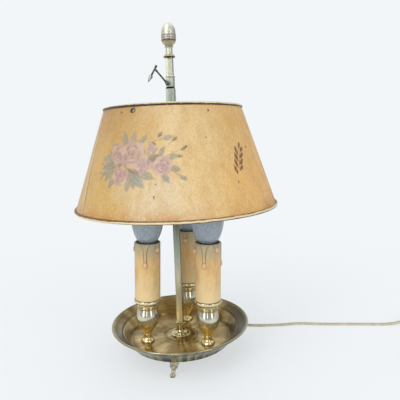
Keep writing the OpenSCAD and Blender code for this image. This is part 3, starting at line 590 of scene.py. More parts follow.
@dataclass(frozen=True)
class RimPaint(Finish):
    """Rolled wire edge, coloured in lines round it by height, with chips.

    It is a pale bead between dark lines. On the top edge the pale upper half is a painted
    reflection over dark brown paint; on both edges the dark line under the bead, and on the bottom
    edge the brown line where it meets the sheet, are painted shade.
    """

    low_z: float
    high_z: float
    lines: Bands
    slant: float = 0.0
    chip: str = "#A8875A"

    def lay(self, p: Palette) -> None:
        """Lays the lines round the rim, slanted and wandering a little, and chips.

        Args:
            p: The palette.
        """
        where = p.place()
        across, up = (p.add("SeparateXYZ", where, output=axis) for axis in "XZ")
        wander = p.add("MapRange", p.speckle(where, 7.0), 0.3, 0.7, -0.3 * MM, 0.3 * MM)
        slant = p.add("Math", across, self.slant, operation="MULTIPLY")
        height = p.add("Math", p.add("Math", up, wander, operation="ADD"), slant,
                       operation="ADD")
        share = p.add("MapRange", height, self.low_z * MM, self.high_z * MM)
        chips = p.add("MapRange", p.speckle(where, 1.6), 0.58, 0.72, 0.0, 0.6)
        p.coat(p.add("Mix", chips, p.add("ValToRGB", share, stops=self.lines), self.chip), 0.42)
        p.bump(p.speckle(where, 1.0), 0.3, 0.05)


@dataclass(frozen=True)
class WaxCard(Finish):
    """Waxed card tube with poured drips, as on candle lights.

    It is honey-coloured with a satin skin and greyer at the top. It is paler towards its foot as
    painted light, and darker as painted shade at its foot against the cup, on its left and right
    sides and along the drips' edges.
    """

    foot: Point
    lean: float
    honey: str = "#DCB97E"
    amber: str = "#CE9C5E"
    lit_lower_tone: str = "#E2CB98"
    grey: str = "#ADA489"
    drop: str = "#E4B58E"
    line: str = "#553F26"

    def lay(self, p: Palette) -> None:
        """Lays the streaked card, the greyer top, painted light low down, painted shade at the
        foot, sides and drip edges, the wax and specks.

        Args:
            p: The palette.
        """
        where = p.place(self.foot, self.lean)
        up = p.add("SeparateXYZ", where, output="Z")
        streak = p.speckle(where, 8.0, 3.0, (1, 1, 0.4))
        drift = p.add("Math", p.add("Math", streak, 0.5, operation="SUBTRACT"), 0.03,
                      operation="MULTIPLY")
        height = p.add("Math", up, drift, operation="ADD")
        side = p.add("Math", p.facing("X"), operation="ABSOLUTE")
        drip, drip_shadow_line = (p.add("Attribute", output="Fac", attribute_name=name)
                           for name in ("drip", "drip_shadow_line"))
        colour = self.honey
        for share, coat in (
                (p.add("MapRange", streak, 0.42, 0.7, 0.0, 0.8), self.amber),
                # Painted light: paler towards the foot.
                (p.add("MapRange", height, 0.052, 0.082, 0.8, 0.0), self.lit_lower_tone),
                (p.add("MapRange", height, 0.09, 0.109, 0.0, 0.95), self.grey),
                # Painted shade: a dark line at the foot against the cup, on the left and right
                # sides, and along the drips' edges.
                (p.add("MapRange", up, (CUP_H + 0.4) * MM, (CUP_H + 1.3) * MM, 0.9, 0.0),
                 self.line),
                (p.add("MapRange", side, 0.92, 1.0, 0.0, 0.3), self.line),
                (p.add("Math", drip_shadow_line, 0.9, operation="MULTIPLY"), self.line),
                (drip, self.drop),
                (p.add("MapRange", p.speckle(where, 0.9, 2.0), 0.62, 0.76, 0.0, 0.35),
                 self.line)):
            colour = p.add("Mix", share, colour, coat)
        p.coat(colour, p.add("MapRange", drip, 0.0, 1.0, 0.48, 0.22), Subsurface_Weight=0.08,
               Subsurface_Radius=(1.2 * MM, 0.8 * MM, 0.4 * MM))
        p.bump(p.speckle(where, 1.6), 0.3, 0.06)


@dataclass(frozen=True)
class BulbGlass(Finish):
    """Thin blown glass with a grey bloom inside.

    It is half clear and half milky, bluer and darker towards the cap.
    """

    foot: Point
    lean: float
    body: str = "#B9C4CE"
    cloud: str = "#A6B2BE"
    neck: str = "#46586E"
    glint: str = "#C3CFDA"

    def lay(self, p: Palette) -> None:
        """Lays the bloom, and the dark neck with its glints.

        Args:
            p: The palette.
        """
        where = p.place(self.foot, self.lean)
        mottle = p.speckle(where, 2.4)
        bloom = p.add("Mix", p.add("MapRange", mottle, 0.4, 0.62), self.cloud, self.body)
        height = p.add("Math", p.add("SeparateXYZ", where, output="Z"),
                       p.add("Math", mottle, 0.012, operation="MULTIPLY"), operation="ADD")
        glints = p.add("MapRange", p.speckle(where, 1.2, 2.0), 0.6, 0.68, 0.0, 0.8)
        neck = p.add("Mix", glints, self.neck, self.glint)
        p.coat(p.add("Mix", p.add("MapRange", height, 0.111, 0.121), neck, bloom), 0.18,
               IOR=1.5, Transmission_Weight=0.35)
        p.bump(p.speckle(where, 9.0, 2.0), 0.1, 0.1)


@dataclass(frozen=True)
class TwinCordSkin(Finish):
    """Soft PVC twin flex, cream gone yellow, darker along the groove between its wires and along
    its edges.
    """

    name: str = "cream_pvc_flex"
    cream: str = "#D0C9AE"
    shade: str = "#BBB396"
    darker_tone: str = "#7F7962"

    def lay(self, p: Palette) -> None:
        """Lays the clouded cream, and a darker tone along the groove and the edges.

        Args:
            p: The palette.
        """
        where = p.place()
        body = p.add("Mix", p.add("MapRange", p.speckle(where, 8.0), 0.35, 0.65),
                     self.shade, self.cream)
        groove_darkening = p.add("Math", p.add("Attribute", output="Fac", attribute_name="groove"),
                      p.add("MapRange", p.speckle(where, 3.0), 0.3, 0.7, 0.55, 0.95),
                      operation="MULTIPLY")
        p.coat(p.add("Mix", groove_darkening, body, self.darker_tone), 0.38, IOR=1.5)
        p.bump(p.speckle(where, 1.0), 0.2, 0.03)


# Bench tools


def clear_selection() -> None:
    """Leaves edit mode and deselects everything."""
    if bpy.context.mode != "OBJECT":
        bpy.ops.object.mode_set(mode="OBJECT")
    bpy.ops.object.select_all(action="DESELECT")


def take(*pieces: Piece) -> Piece:
    """Selects only these pieces, with the first of them active.

    Args:
        *pieces: The pieces.

    Returns:
        The first piece.
    """
    clear_selection()
    for piece in pieces:
        piece.select_set(True)
    bpy.context.view_layer.objects.active = pieces[0]
    return pieces[0]


@contextmanager
def shaping(piece: Piece) -> Iterator[None]:
    """Opens a piece in edit mode with all of it selected, and closes it afterwards.

    Args:
        piece: The piece.
    """
    take(piece)
    bpy.ops.object.mode_set(mode="EDIT")
    bpy.ops.mesh.select_all(action="SELECT")
    yield
    bpy.ops.object.mode_set(mode="OBJECT")


def worked(piece: Piece, modifier: str, **settings: Any) -> Piece:
    """Works a piece with a modifier, and applies it.

    Args:
        piece: The piece.
        modifier: The modifier's type.
        **settings: The modifier's settings.

    Returns:
        The piece.
    """
    take(piece)
    change = piece.modifiers.new(modifier.lower(), modifier)
    for key, value in settings.items():
        setattr(change, key, value)
    bpy.ops.object.modifier_apply(modifier=change.name)
    return piece


def called(piece: Piece, name: str) -> Piece:
    """Gives a piece and its mesh a name."""
    piece.name = piece.data.name = name
    return piece


def named(name: str) -> Piece:
    """Names the piece that an operator has just added, with its place in its mesh."""
    bpy.ops.object.transform_apply(location=True, rotation=True, scale=True)
    return called(bpy.context.object, name)


def pick(piece: Piece, test: Callable[[Face], bool]) -> None:
    """Selects, in edit mode, the faces that pass a test.

    Args:
        piece: The piece.
        test: The test.
    """
    bpy.ops.mesh.select_all(action="DESELECT")
    mesh = bmesh.from_edit_mesh(piece.data)
    for face in mesh.faces:
        if test(face):
            face.select_set(True)
    mesh.select_flush_mode()
    bmesh.update_edit_mesh(piece.data)


def heal(piece: Piece, gap_mm: float = 0.002) -> None:
    """Merges doubled points, drops empty faces and turns all faces outwards.

    Args:
        piece: The piece.
        gap_mm: How near doubled points lie.
    """
    with shaping(piece):
        bpy.ops.mesh.remove_doubles(threshold=gap_mm * MM)
        bpy.ops.mesh.dissolve_degenerate(threshold=gap_mm * MM)
        bpy.ops.mesh.normals_make_consistent(inside=False)


def mark(piece: Piece, name: str, values: Sequence[float]) -> None:
    """Writes a value at each point of a piece, which its finish reads by the name."""
    piece.data.attributes.new(name, "FLOAT", "POINT").data.foreach_set("value", values)


def smooth(piece: Piece, sharp: float = 32.0) -> Piece:
    """Shades a piece smooth, apart from its sharp edges.

    Args:
        piece: The piece.
        sharp: Edges above this angle stay sharp, in degrees.

    Returns:
        The piece.
    """
    take(piece)
    bpy.ops.object.shade_smooth_by_angle(angle=math.radians(sharp))
    return piece


def turned(name: str, outline: Outline, steps: int = 96, sharp: float = 32.0) -> Piece:
    """Turns a closed outline round the Z axis, as on a lathe.

    Args:
        name: The piece's name.
        outline: Radius and height of each point, in millimetres, all the way round.
        steps: Steps of the full turn.
        sharp: Edges above this angle stay sharp, in degrees.

    Returns:
        The turned piece.
    """
    clear_selection()
    bpy.ops.mesh.primitive_circle_add(vertices=len(outline), radius=MM)
    piece = named(name)
    for vertex, (radius, height) in zip(piece.data.vertices, outline):
        vertex.co = (radius * MM, 0.0, height * MM)
    with shaping(piece):
        bpy.ops.mesh.spin(steps=steps, angle=math.tau, center=(0, 0, 0), axis=(0, 0, 1))
    heal(piece)
    return smooth(piece, sharp)


def prism(name: str, corners: Sequence[Place], low: float, high: float) -> Piece:
    """Makes an upright prism by lifting a flat face.

    Args:
        name: The piece's name.
        corners: Its corners from above, in millimetres.
        low: The height of its underside.
        high: The height of its top.

    Returns:
        The prism.
    """
    clear_selection()
    bpy.ops.mesh.primitive_circle_add(vertices=len(corners), radius=MM, fill_type="NGON")
    piece = named(name)
    for vertex, (x, y) in zip(piece.data.vertices, corners):
        vertex.co = (x * MM, y * MM, low * MM)
    with shaping(piece):
        bpy.ops.mesh.extrude_region_move(
            TRANSFORM_OT_translate={"value": (0, 0, (high - low) * MM)})
    heal(piece)
    return piece


def rounded(piece: Piece, width_mm: float, segments: int = 3, limit: float = 40.0) -> Piece:
    """Rounds a piece's edges."""
    worked(piece, "BEVEL", width=width_mm * MM, segments=segments, limit_method="ANGLE",
           angle_limit=math.radians(limit))
    return smooth(piece, 50.0)


def block(name: str, low: Point, high: Point) -> Piece:
    """Adds a box.

    Args:
        name: The box's name.
        low: Its lowest corner, in millimetres.
        high: The corner opposite.

    Returns:
        The box.
    """
    clear_selection()
    size = [h - l for l, h in zip(low, high)]
    centre = [(h + l) / 2 * MM for l, h in zip(low, high)]
    bpy.ops.mesh.primitive_cube_add(size=1.0, location=centre)
    bpy.ops.transform.resize(value=[s * MM for s in size])
    return named(name)


def joined(name: str, pieces: Sequence[Piece]) -> Piece:
    """Joins pieces into one.

    Args:
        name: The new piece's name.
        pieces: The pieces, of which the first is kept.

    Returns:
        The new piece.
    """
    piece = take(*pieces)
    bpy.ops.object.join()
    return called(piece, name)


def cut(piece: Piece, tool: Piece) -> Piece:
    """Takes a tool's volume out of a piece, and discards the tool.

    Args:
        piece: The piece.
        tool: The tool.

    Returns:
        The piece.
    """
    worked(piece, "BOOLEAN", operation="DIFFERENCE", solver="EXACT", object=tool)
    discard(tool)
    return piece


def melted(piece: Piece, voxel_mm: float, rounds: int) -> Piece:
    """Fuses a piece's parts into one smooth casting.

    Args:
        piece: The piece.
        voxel_mm: The size of the smallest form that is kept.
        rounds: How often the skin is relaxed.

    Returns:
        The casting.
    """
    worked(piece, "REMESH", mode="VOXEL", voxel_size=voxel_mm * MM)
    worked(piece, "SMOOTH", iterations=rounds, factor=0.5)
    return smooth(piece, 60.0)


def sliced(piece: Piece, height_mm: float, keep_above: bool) -> Piece:
    """Cuts a piece flat at a height.

    Args:
        piece: The piece.
        height_mm: The height.
        keep_above: Whether the upper part is kept, or else the lower.

    Returns:
        The kept part.
    """
    with shaping(piece):
        bpy.ops.mesh.bisect(
            plane_co=(0, 0, height_mm * MM), plane_no=(0, 0, 1), use_fill=True,
            clear_inner=keep_above, clear_outer=not keep_above)
    return piece


def copied(piece: Piece, name: str, place: Matrix) -> Piece:
    """Copies a piece with its own mesh.

    Args:
        piece: The piece.
        name: The copy's name.
        place: Where the copy's mesh is moved.

    Returns:
        The copy.
    """
    copy = piece.copy()
    copy.data = piece.data.copy()
    bpy.context.scene.collection.objects.link(copy)
    copy.data.transform(place)
    return called(copy, name)


def discard(piece: Piece) -> None:
    """Removes a tool, or a pattern whose copies are made."""
    bpy.data.objects.remove(piece, do_unlink=True)


def dress(piece: Piece, material: Material, body: Body, nodes: Sequence[str]) -> None:
    """Gives a finished piece its material and body, hides the CAD nodes that it stands for, and
    logs it.

    Args:
        piece: The finished piece.
        material: Its finish, if it isn't on the piece yet.
        body: The body that it rides on.
        nodes: The CAD nodes that it stands for, which are hidden.
    """
    if not piece.data.materials:
        piece.data.materials.append(material)
    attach(piece, body.value)
    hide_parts(*nodes)
    LOG.info("%s: %d faces on %s", piece.name, len(piece.data.polygons), body.value)


def dress_nodes(material: Material, *nodes: str) -> None:
    """Gives CAD nodes that stay in view their material.

    Args:
        material: The material.
        *nodes: The nodes' names.
    """
    for node in nodes:
        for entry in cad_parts[node].material_slots:
            entry.material = material
        LOG.info("%s: CAD node in %s", node, material.name)


# Places and curves, as in the part's source


def shift(x: float, y: float, z: float) -> Matrix:
    """A move, in millimetres."""
    return Matrix.Translation((x * MM, y * MM, z * MM))


def turn_by(angle: float, axis: str) -> Matrix:
    """A turn about an axis, in degrees."""
    return Matrix.Rotation(math.radians(angle), 4, axis)


def round_the_stem(angle: float, radius: float, height: float = 0.0) -> Matrix:
    """The place at an angle, radius and height, with +X pointing outwards."""
    return turn_by(angle, "Z") @ shift(radius, 0, height)


def way_of(angle: float) -> Place:
    """The cosine and sine of an angle in degrees."""
    return math.cos(math.radians(angle)), math.sin(math.radians(angle))


def between(angle: float, start: float) -> float:
    """How far an angle is past another, from -180 to 180 degrees."""
    return (angle - start + 180) % 360 - 180


def smooth_line(points: Sequence[Sequence[float]], steps: int) -> list[Vector]:
    """Runs a smooth line through points.

    Args:
        points: The places that the line passes.
        steps: Steps on each stretch.

    Returns:
        The line's points.
    """
    places = [Vector(p) for p in points]
    last = len(places) - 1
    line = []
    for i in range(last):
        a, b = places[max(i - 1, 0)], places[i]
        c, d = places[i + 1], places[min(i + 2, last)]
        for step in range(steps):
            t = step / steps
            line.append(((2 * b) + (c - a) * t + (2 * a - 5 * b + 4 * c - d) * t * t
                         + (3 * b - a - 3 * c + d) * t * t * t) / 2)
    line.append(places[last])
    return line


def smooth_outline(points: Outline, steps: int) -> Outline:
    """Runs a smooth line through outline points, as pairs of radius and height."""
    return [(p[0], p[1]) for p in smooth_line(points, steps)]


def arc_points(centre: Place, radius: float, start: float, end: float, steps: int) -> Outline:
    """Places along an arc.

    Args:
        centre: The arc's centre.
        radius: Its radius.
        start: The angle where it starts, in degrees.
        end: The angle where it ends.
        steps: Its steps.

    Returns:
        The places, with both ends.
    """
    places = []
    for i in range(steps + 1):
        c, s = way_of(start + (end - start) * i / steps)
        places.append((centre[0] + radius * c, centre[1] + radius * s))
    return places


def bend_points(start: Place, pull: Place, end: Place, steps: int) -> Outline:
    """Places on a curve that is pulled towards a third place.

    Args:
        start: Where it starts.
        pull: The place that it is pulled towards.
        end: Where it ends.
        steps: Its steps.

    Returns:
        The places, with both ends.
    """
    places = []
    for i in range(steps + 1):
        t = i / steps
        weights = ((1 - t) ** 2, 2 * t * (1 - t), t * t)
        places.append(tuple(
            sum(w * p[axis] for w, p in zip(weights, (start, pull, end))) for axis in (0, 1)))
    return places


def line_length(line: Sequence[Vector]) -> float:
    """The length of a line of points."""
    return sum((b - a).length for a, b in zip(line, line[1:]))


# Levels and places that the pieces share, in millimetres

FOOT_H = 18.0
FLOOR_Z = 21.0
RIM_Z = 38.0
STEM_TURN = 11.0
STEM_SIDE = 6.8
STEM_TOP_Z = 318.4
STUD_R = 3.0
PIN_R = 2.2
PIN_L = 10.0
CUP_H = 48.5
SEAT_H = 46.3
SHADE_Z = 166.8
SHADE_H = 101.8
SHADE_TOP_Z = SHADE_Z + SHADE_H
SHADE_SHIFT = 1.8
SCREW_Z = SHADE_TOP_Z - 6.2
COLLAR_Z = 287.5
COLLAR_TOP_Z = 300.4
KEY_Z = COLLAR_Z + 4.8


@dataclass(frozen=True)
class Light:
    """One candle light: its name, its place round the stem and its lean.

    Each of its drips is an angle on the sleeve, and a length down to the middle of its drop.
    """

    name: str
    angle: float
    lean: float
    bulb: Body
    drips: tuple[tuple[float, float], ...]
    place_r: float = 38.0

    @property
    def foot(self) -> Point:
        """The foot of its axis on the tray's floor, in millimetres."""
        c, s = way_of(self.angle)
        return (self.place_r * c, self.place_r * s, FLOOR_Z)

    def axis(self, height: float = 0.0) -> Matrix:
        """The place at a height on its own axis."""
        foot = Matrix.Translation(Vector(self.foot) * MM)
        return foot @ turn_by(self.lean, "Y") @ shift(0, 0, height)


LIGHTS = (
    Light("left", 198.0, 2.7, Body.LEFT_BULB,
          ((187, 8), (263, 22.7), (322, 7.5), (60, 18), (120, 11))),
    Light("right", -42.0, 1.6, Body.RIGHT_BULB,
          ((192, 9), (249, 22.6), (308, 6.5), (355, 23), (90, 16))),
    Light("back", 78.0, 2.4, Body.BACK_BULB,
          ((258, 11), (320, 22), (30, 13), (140, 26), (200, 15))),
)


# Camera and studio


@dataclass(frozen=True)
class Studio:
    """A pale floor and sky, soft lamps, and the camera."""

    camera_place: Point = (0.0, -0.433879, 0.235337)
    yaw: float = 3.472
    pitch: float = -8.405
    roll: float = 1.905
    focal_px: float = 410.294
    frame_px: int = 400
    sensor_mm: float = 36.0
    aim: Point = (0.0, 0.0, 0.16)
    backdrop: str = "#F2F6F9"
    sky_level: float = 0.62
    room_level: float = 0.28
    sun_way: Point = (0.45, 0.75, -1.1)
    sun_level: float = 0.24
    sun_angle: float = 40.0
    floor_r: float = 12.0
    floor_z: float = -0.0002
    sky_way: Point = (0.0, 1.0, 0.9)
    windows: tuple[tuple[str, Point, float, float, float], ...] = (
        ("window_left", (-0.85, -0.95, 0.6), 0.34, 1.3, 3.2),
        ("window_front", (-0.2, -1.35, 0.55), 0.14, 1.0, 3.0),
        ("window_right", (0.75, -0.95, 0.5), 0.3, 1.2, 2.6))

    def stand(self, name: str, data: bpy.types.ID) -> Piece:
        """Stands a camera or lamp in the scene.

        Args:
            name: Its name.
            data: Its settings.

        Returns:
            Its object.
        """
        thing = bpy.data.objects.new(name, data)
        bpy.context.scene.collection.objects.link(thing)
        return thing

    def add_camera(self) -> None:
        """Adds the camera and makes it the scene's."""
        yaw, pitch, roll = (math.radians(a) for a in (self.yaw, self.pitch, self.roll))
        ahead = Vector((math.sin(yaw) * math.cos(pitch), math.cos(yaw) * math.cos(pitch),
                        math.sin(pitch)))
        right = Vector((math.cos(yaw), -math.sin(yaw), 0.0))
        up = right.cross(ahead)
        across = math.cos(roll) * right - math.sin(roll) * up
        upright = math.sin(roll) * right + math.cos(roll) * up
        turn = Matrix((across, upright, -ahead)).transposed().to_4x4()
        data = bpy.data.cameras.new("camera")
        data.sensor_width = self.sensor_mm
        data.lens = self.focal_px * self.sensor_mm / self.frame_px
        data.clip_start = 0.01
        camera = self.stand("camera", data)
        camera.matrix_world = Matrix.Translation(self.camera_place) @ turn
        bpy.context.scene.camera = camera

    def add_lamp(self, name: str, place: Point, wide: float, tall: float,
                 glow: float) -> None:
        """Adds a soft lamp that faces the middle of the object.

        Args:
            name: The lamp's name.
            place: Where it stands, in metres.
            wide: Its width, in metres.
            tall: Its height, in metres.
            glow: How bright its face is; 1 is as bright as white paper in the scene.
        """
        data = bpy.data.lights.new(name, "AREA")
        data.shape = "RECTANGLE"
        data.size = wide
        data.size_y = tall
        data.energy = glow * math.pi * wide * tall
        lamp = self.stand(name, data)
        lamp.location = place
        aim = Vector(self.aim) - lamp.location
        lamp.rotation_euler = aim.to_track_quat("-Z", "Y").to_euler()

    def add_sun(self) -> None:
        """Adds a wide soft sun."""
        data = bpy.data.lights.new("soft_key", "SUN")
        data.energy = self.sun_level * math.pi
        data.angle = math.radians(self.sun_angle)
        sun = self.stand("soft_key", data)
        sun.rotation_euler = Vector(self.sun_way).to_track_quat("-Z", "Y").to_euler()

    def show(self, p: Palette, kind: str, across: Socket, room: Place,
             ) -> tuple[Socket, Socket]:
        """Makes the shader of the backdrop as it is seen.

        It is full for the camera, and for reflections darker on the front side, where a
        studio's dim room would be.

        Args:
            p: The palette.
            kind: The shader's type.
            across: A value that runs from the front to the back.
            room: The values of it between which the dim room ends.

        Returns:
            One for camera, glossy and transmission rays and nought for the rest, and the
            shader.
        """
        camera, glossy, clear = (
            p.add("LightPath", output=f"Is {ray} Ray") for ray in
            ("Camera", "Glossy", "Transmission"))
        dim = p.add("MapRange", across, *room, self.room_level, 1.0)
        level = p.add("Math", dim, camera, operation="MAXIMUM")
        seen = p.add("Math", p.add("Math", camera, glossy, operation="MAXIMUM"), clear,
                     operation="MAXIMUM")
        return seen, p.add(kind, self.backdrop, level)

    def add_sky(self) -> None:
        """Lights the scene from all round, and shows the backdrop's colour."""
        world = bpy.data.worlds.new("studio")
        bpy.context.scene.world = world
        world.use_nodes = True
        world.node_tree.nodes.clear()
        p = Palette(world.node_tree)
        lit = p.add("Background", "#FFFFFF", self.sky_level)
        way = p.add("TexCoord", output="Generated")
        raised = p.add("VectorMath", way, self.sky_way, operation="DOT_PRODUCT")
        seen, shown = self.show(p, "Background", raised, (0.1, 0.75))
        p.add("OutputWorld", p.add("MixShader", seen, lit, shown))

    def add_floor(self) -> None:
        """Lays a pale floor that keeps the lamp's shadow and fades into the backdrop."""
        clear_selection()
        bpy.ops.mesh.primitive_circle_add(vertices=96, radius=self.floor_r, fill_type="NGON",
                                          location=(0, 0, self.floor_z))
        floor = named("floor")
        material = bpy.data.materials.new("pale_floor")
        material.use_nodes = True
        material.node_tree.nodes.clear()
        p = Palette(material.node_tree)
        where = p.add("TexCoord", output="Object")
        far = p.add("VectorMath", where, operation="LENGTH")
        fade = p.add("MapRange", far, 0.1, 0.6, 0.6, 1.0)
        lit = p.add("BsdfDiffuse", self.backdrop)
        seen, shown = self.show(p, "Emission", p.add("SeparateXYZ", where, output="Y"),
                                (-0.9, -0.2))
        factor = p.add("Math", fade, seen, operation="MULTIPLY")
        p.add("OutputMaterial", p.add("MixShader", factor, lit, shown))
        floor.data.materials.append(material)

    def build(self) -> None:
        """Sets up the studio."""
        bpy.context.scene.view_settings.view_transform = "Standard"
        self.add_camera()
        self.add_sky()
        self.add_floor()
        self.add_sun()
        for lamp in self.windows:
            self.add_lamp(*lamp)
        LOG.info("studio: camera, sky, floor and lamps")


# Cords


@dataclass
class FlatCord:
    """The flat twin cord: a run to the switch, then a link, a coil and a tail to the plug."""

    width: float = 4.4
    thick: float = 2.4
    groove: float = 0.45
    exit_r: float = 63.8
    exit_z: float = 13.6
    exit_angle: float = 50.0
    coil_centre: Place = (325.0, -20.0)
    coil_outer_r: float = 27.6
    coil_inner_r: float = 17.0
    coil_turns: float = 9.18
    coil_from: float = -8.0
    low_z: float = 2.3
    high_z: float = 7.2
    steps_a_turn: int = 48
    lie: float = 1.2
    run: list[Point] = field(default_factory=lambda: [
        (53, 57, 9.4), (64, 57.5, 5), (75, 55.5, 2), (85, 52, 1.2), (95, 49.6, 1.2),
        (108, 48, 1.2), (124, 47.2, 1.2), (140, 47.8, 1.2), (153, 47.2, 1.2),
        (168, 44, 1.2), (188, 40.6, 1.2), (210, 37.6, 1.2), (230, 34.8, 1.2),
        (248, 32, 1.2), (262, 30.5, 2), (274, 30, 4.2), (284, 30, 5.5)])
    link: list[Point] = field(default_factory=lambda: [
        (338, 30, 5.5), (346, 30, 4.7), (354, 28, 2.8), (360.5, 22.6, 1.9),
        (364, 14.5, 2.1), (364.2, 6, 2.2), (361.8, -2, 2.3), (357.8, -9.5, 2.3),
        (354.3, -16.5, 2.3), (352.33, -23.84, 2.3)])
    tail: list[Point] = field(default_factory=lambda: [
        (322, -51.6, 5.2), (311.5, -59.4, 3.9), (303, -67.4, 4.5),
        (297, -72, 5.8), (291, -73.9, 6.75), (286, -74, 6.85)])

    def half_section(self, across: float) -> float:
        """Gives the cord's outline, round at both wires and dipped between them.

        Args:
            across: How far the place is from the middle.

        Returns:
            Half the thickness, in millimetres.
        """
        round_r = self.thick / 2
        centre = self.width / 2 - round_r
        off = abs(across) - centre
        body = math.sqrt(max(0.0, round_r ** 2 - off * off))
        if abs(across) < centre:
            dip = math.cos(math.pi / 2 * abs(across) / centre) ** 3
            return round_r - (round_r - body) * 0.3 - self.groove * dip
        return body

    def section(self) -> list[tuple[float, float, float]]:
        """Gives the cord's cross-section.

        Returns:
            For each corner, how far across, how far up, and how deep in the groove.
        """
        half = self.width / 2
        count = 10
        upper = []
        for i in range(count + 1):
            across = half * math.cos(math.pi * i / count)
            near = max(0.0, 1 - abs(across) / 0.9)
            edge = 0.5 if i in (0, count) else 0.0
            upper.append((across, self.half_section(across), max(near, edge)))
        lower = [(a, -u, g) for a, u, g in reversed(upper[1:-1])]
        return upper + lower

    def sweep(self, name: str, line: list[Vector], rolls: list[float]) -> Piece:
        """Sweeps the section along a line.

        Args:
            name: The piece's name.
            line: The centreline's points, in millimetres.
            rolls: The section's roll at each point, in degrees; 0 lies flat.

        Returns:
            The cord as a closed tube.
        """
        section = self.section()
        points, grooves = [], []
        last = len(line) - 1
        for i, (place, roll) in enumerate(zip(line, rolls)):
            ahead = (line[min(i + 1, last)] - line[max(i - 1, 0)]).normalized()
            side = ahead.cross(Vector((0, 0, 1))).normalized()
            up = side.cross(ahead)
            c, s = way_of(roll)
            wide, thin = c * side + s * up, c * up - s * side
            for across, height, groove in section:
                points.append((place + wide * across + thin * height) * MM)
                grooves.append(groove)
        n = len(section)
        faces = [list(range(n - 1, -1, -1)), [last * n + k for k in range(n)]]
        for i in range(last):
            for k in range(n):
                m = (k + 1) % n
                faces.append([i * n + k, i * n + m, (i + 1) * n + m, (i + 1) * n + k])
        mesh = bpy.data.meshes.new(name)
        mesh.from_pydata(points, [], faces)
        piece = bpy.data.objects.new(name, mesh)
        bpy.context.scene.collection.objects.link(piece)
        mark(piece, "groove", grooves)
        heal(piece, 0.0005)
        return smooth(piece, 60.0)

    def coil(self) -> list[Vector]:
        """Lays the coil: inwards on the lower layer, up, and outwards on the upper one.

        Returns:
            The line's points.
        """
        line = []
        count = round(self.coil_turns * self.steps_a_turn)
        rise_from, rise_to = 0.46, 0.54
        for i in range(count + 1):
            t = i / count
            angle = math.radians(self.coil_from - 360 * self.coil_turns * t)
            inwards = min(t / rise_from, 1.0, (1 - t) / (1 - rise_to))
            radius = self.coil_outer_r + (self.coil_inner_r - self.coil_outer_r) * inwards
            up = min(max((t - rise_from) / (rise_to - rise_from), 0.0), 1.0)
            up = up * up * (3 - 2 * up)
            tie = max(0.0, math.cos(angle - math.pi / 2)) ** 6
            height = self.low_z + (self.high_z - self.low_z) * up + 0.7 * tie
            line.append(Vector((self.coil_centre[0] + radius * math.cos(angle),
                                self.coil_centre[1] + radius * math.sin(angle), height)))
        return line

    def build(self) -> None:
        """Makes both cords, gives them their material and body, and logs their lengths."""
        skin = TwinCordSkin().make()
        c, s = way_of(self.exit_angle)
        exits = [(r * c, r * s, z) for r, z in
                 ((self.exit_r, self.exit_z), (self.exit_r + 5, self.exit_z - 0.8))]
        run = smooth_line(exits + self.run, 6)
        cord_run = self.sweep("cord_run_flex", run, [0.0] * len(run))
        dress(cord_run, skin, Body.BASE, ["cord_run"])
        link = smooth_line(self.link, 6)[:-1]
        coil = self.coil()
        tail = smooth_line([tuple(coil[-1])] + self.tail, 6)[1:]
        store = link + coil + tail
        rolls = [90.0 * min(1.0, max(0.0, (i - 8) / 26)) for i in range(len(link))]
        rolls += [90.0] * len(coil)
        rolls += [90.0 * max(0.0, 1 - (i + 1) / (len(tail) - 4)) for i in range(len(tail))]
        stored = self.sweep("cord_stored_flex", store, rolls)
        dress(stored, skin, Body.BASE, ["cord_link", "cord_coil", "cord_tail"])
        LOG.info("cords: %.3f m and %.3f m", line_length(run) * MM, line_length(store) * MM)


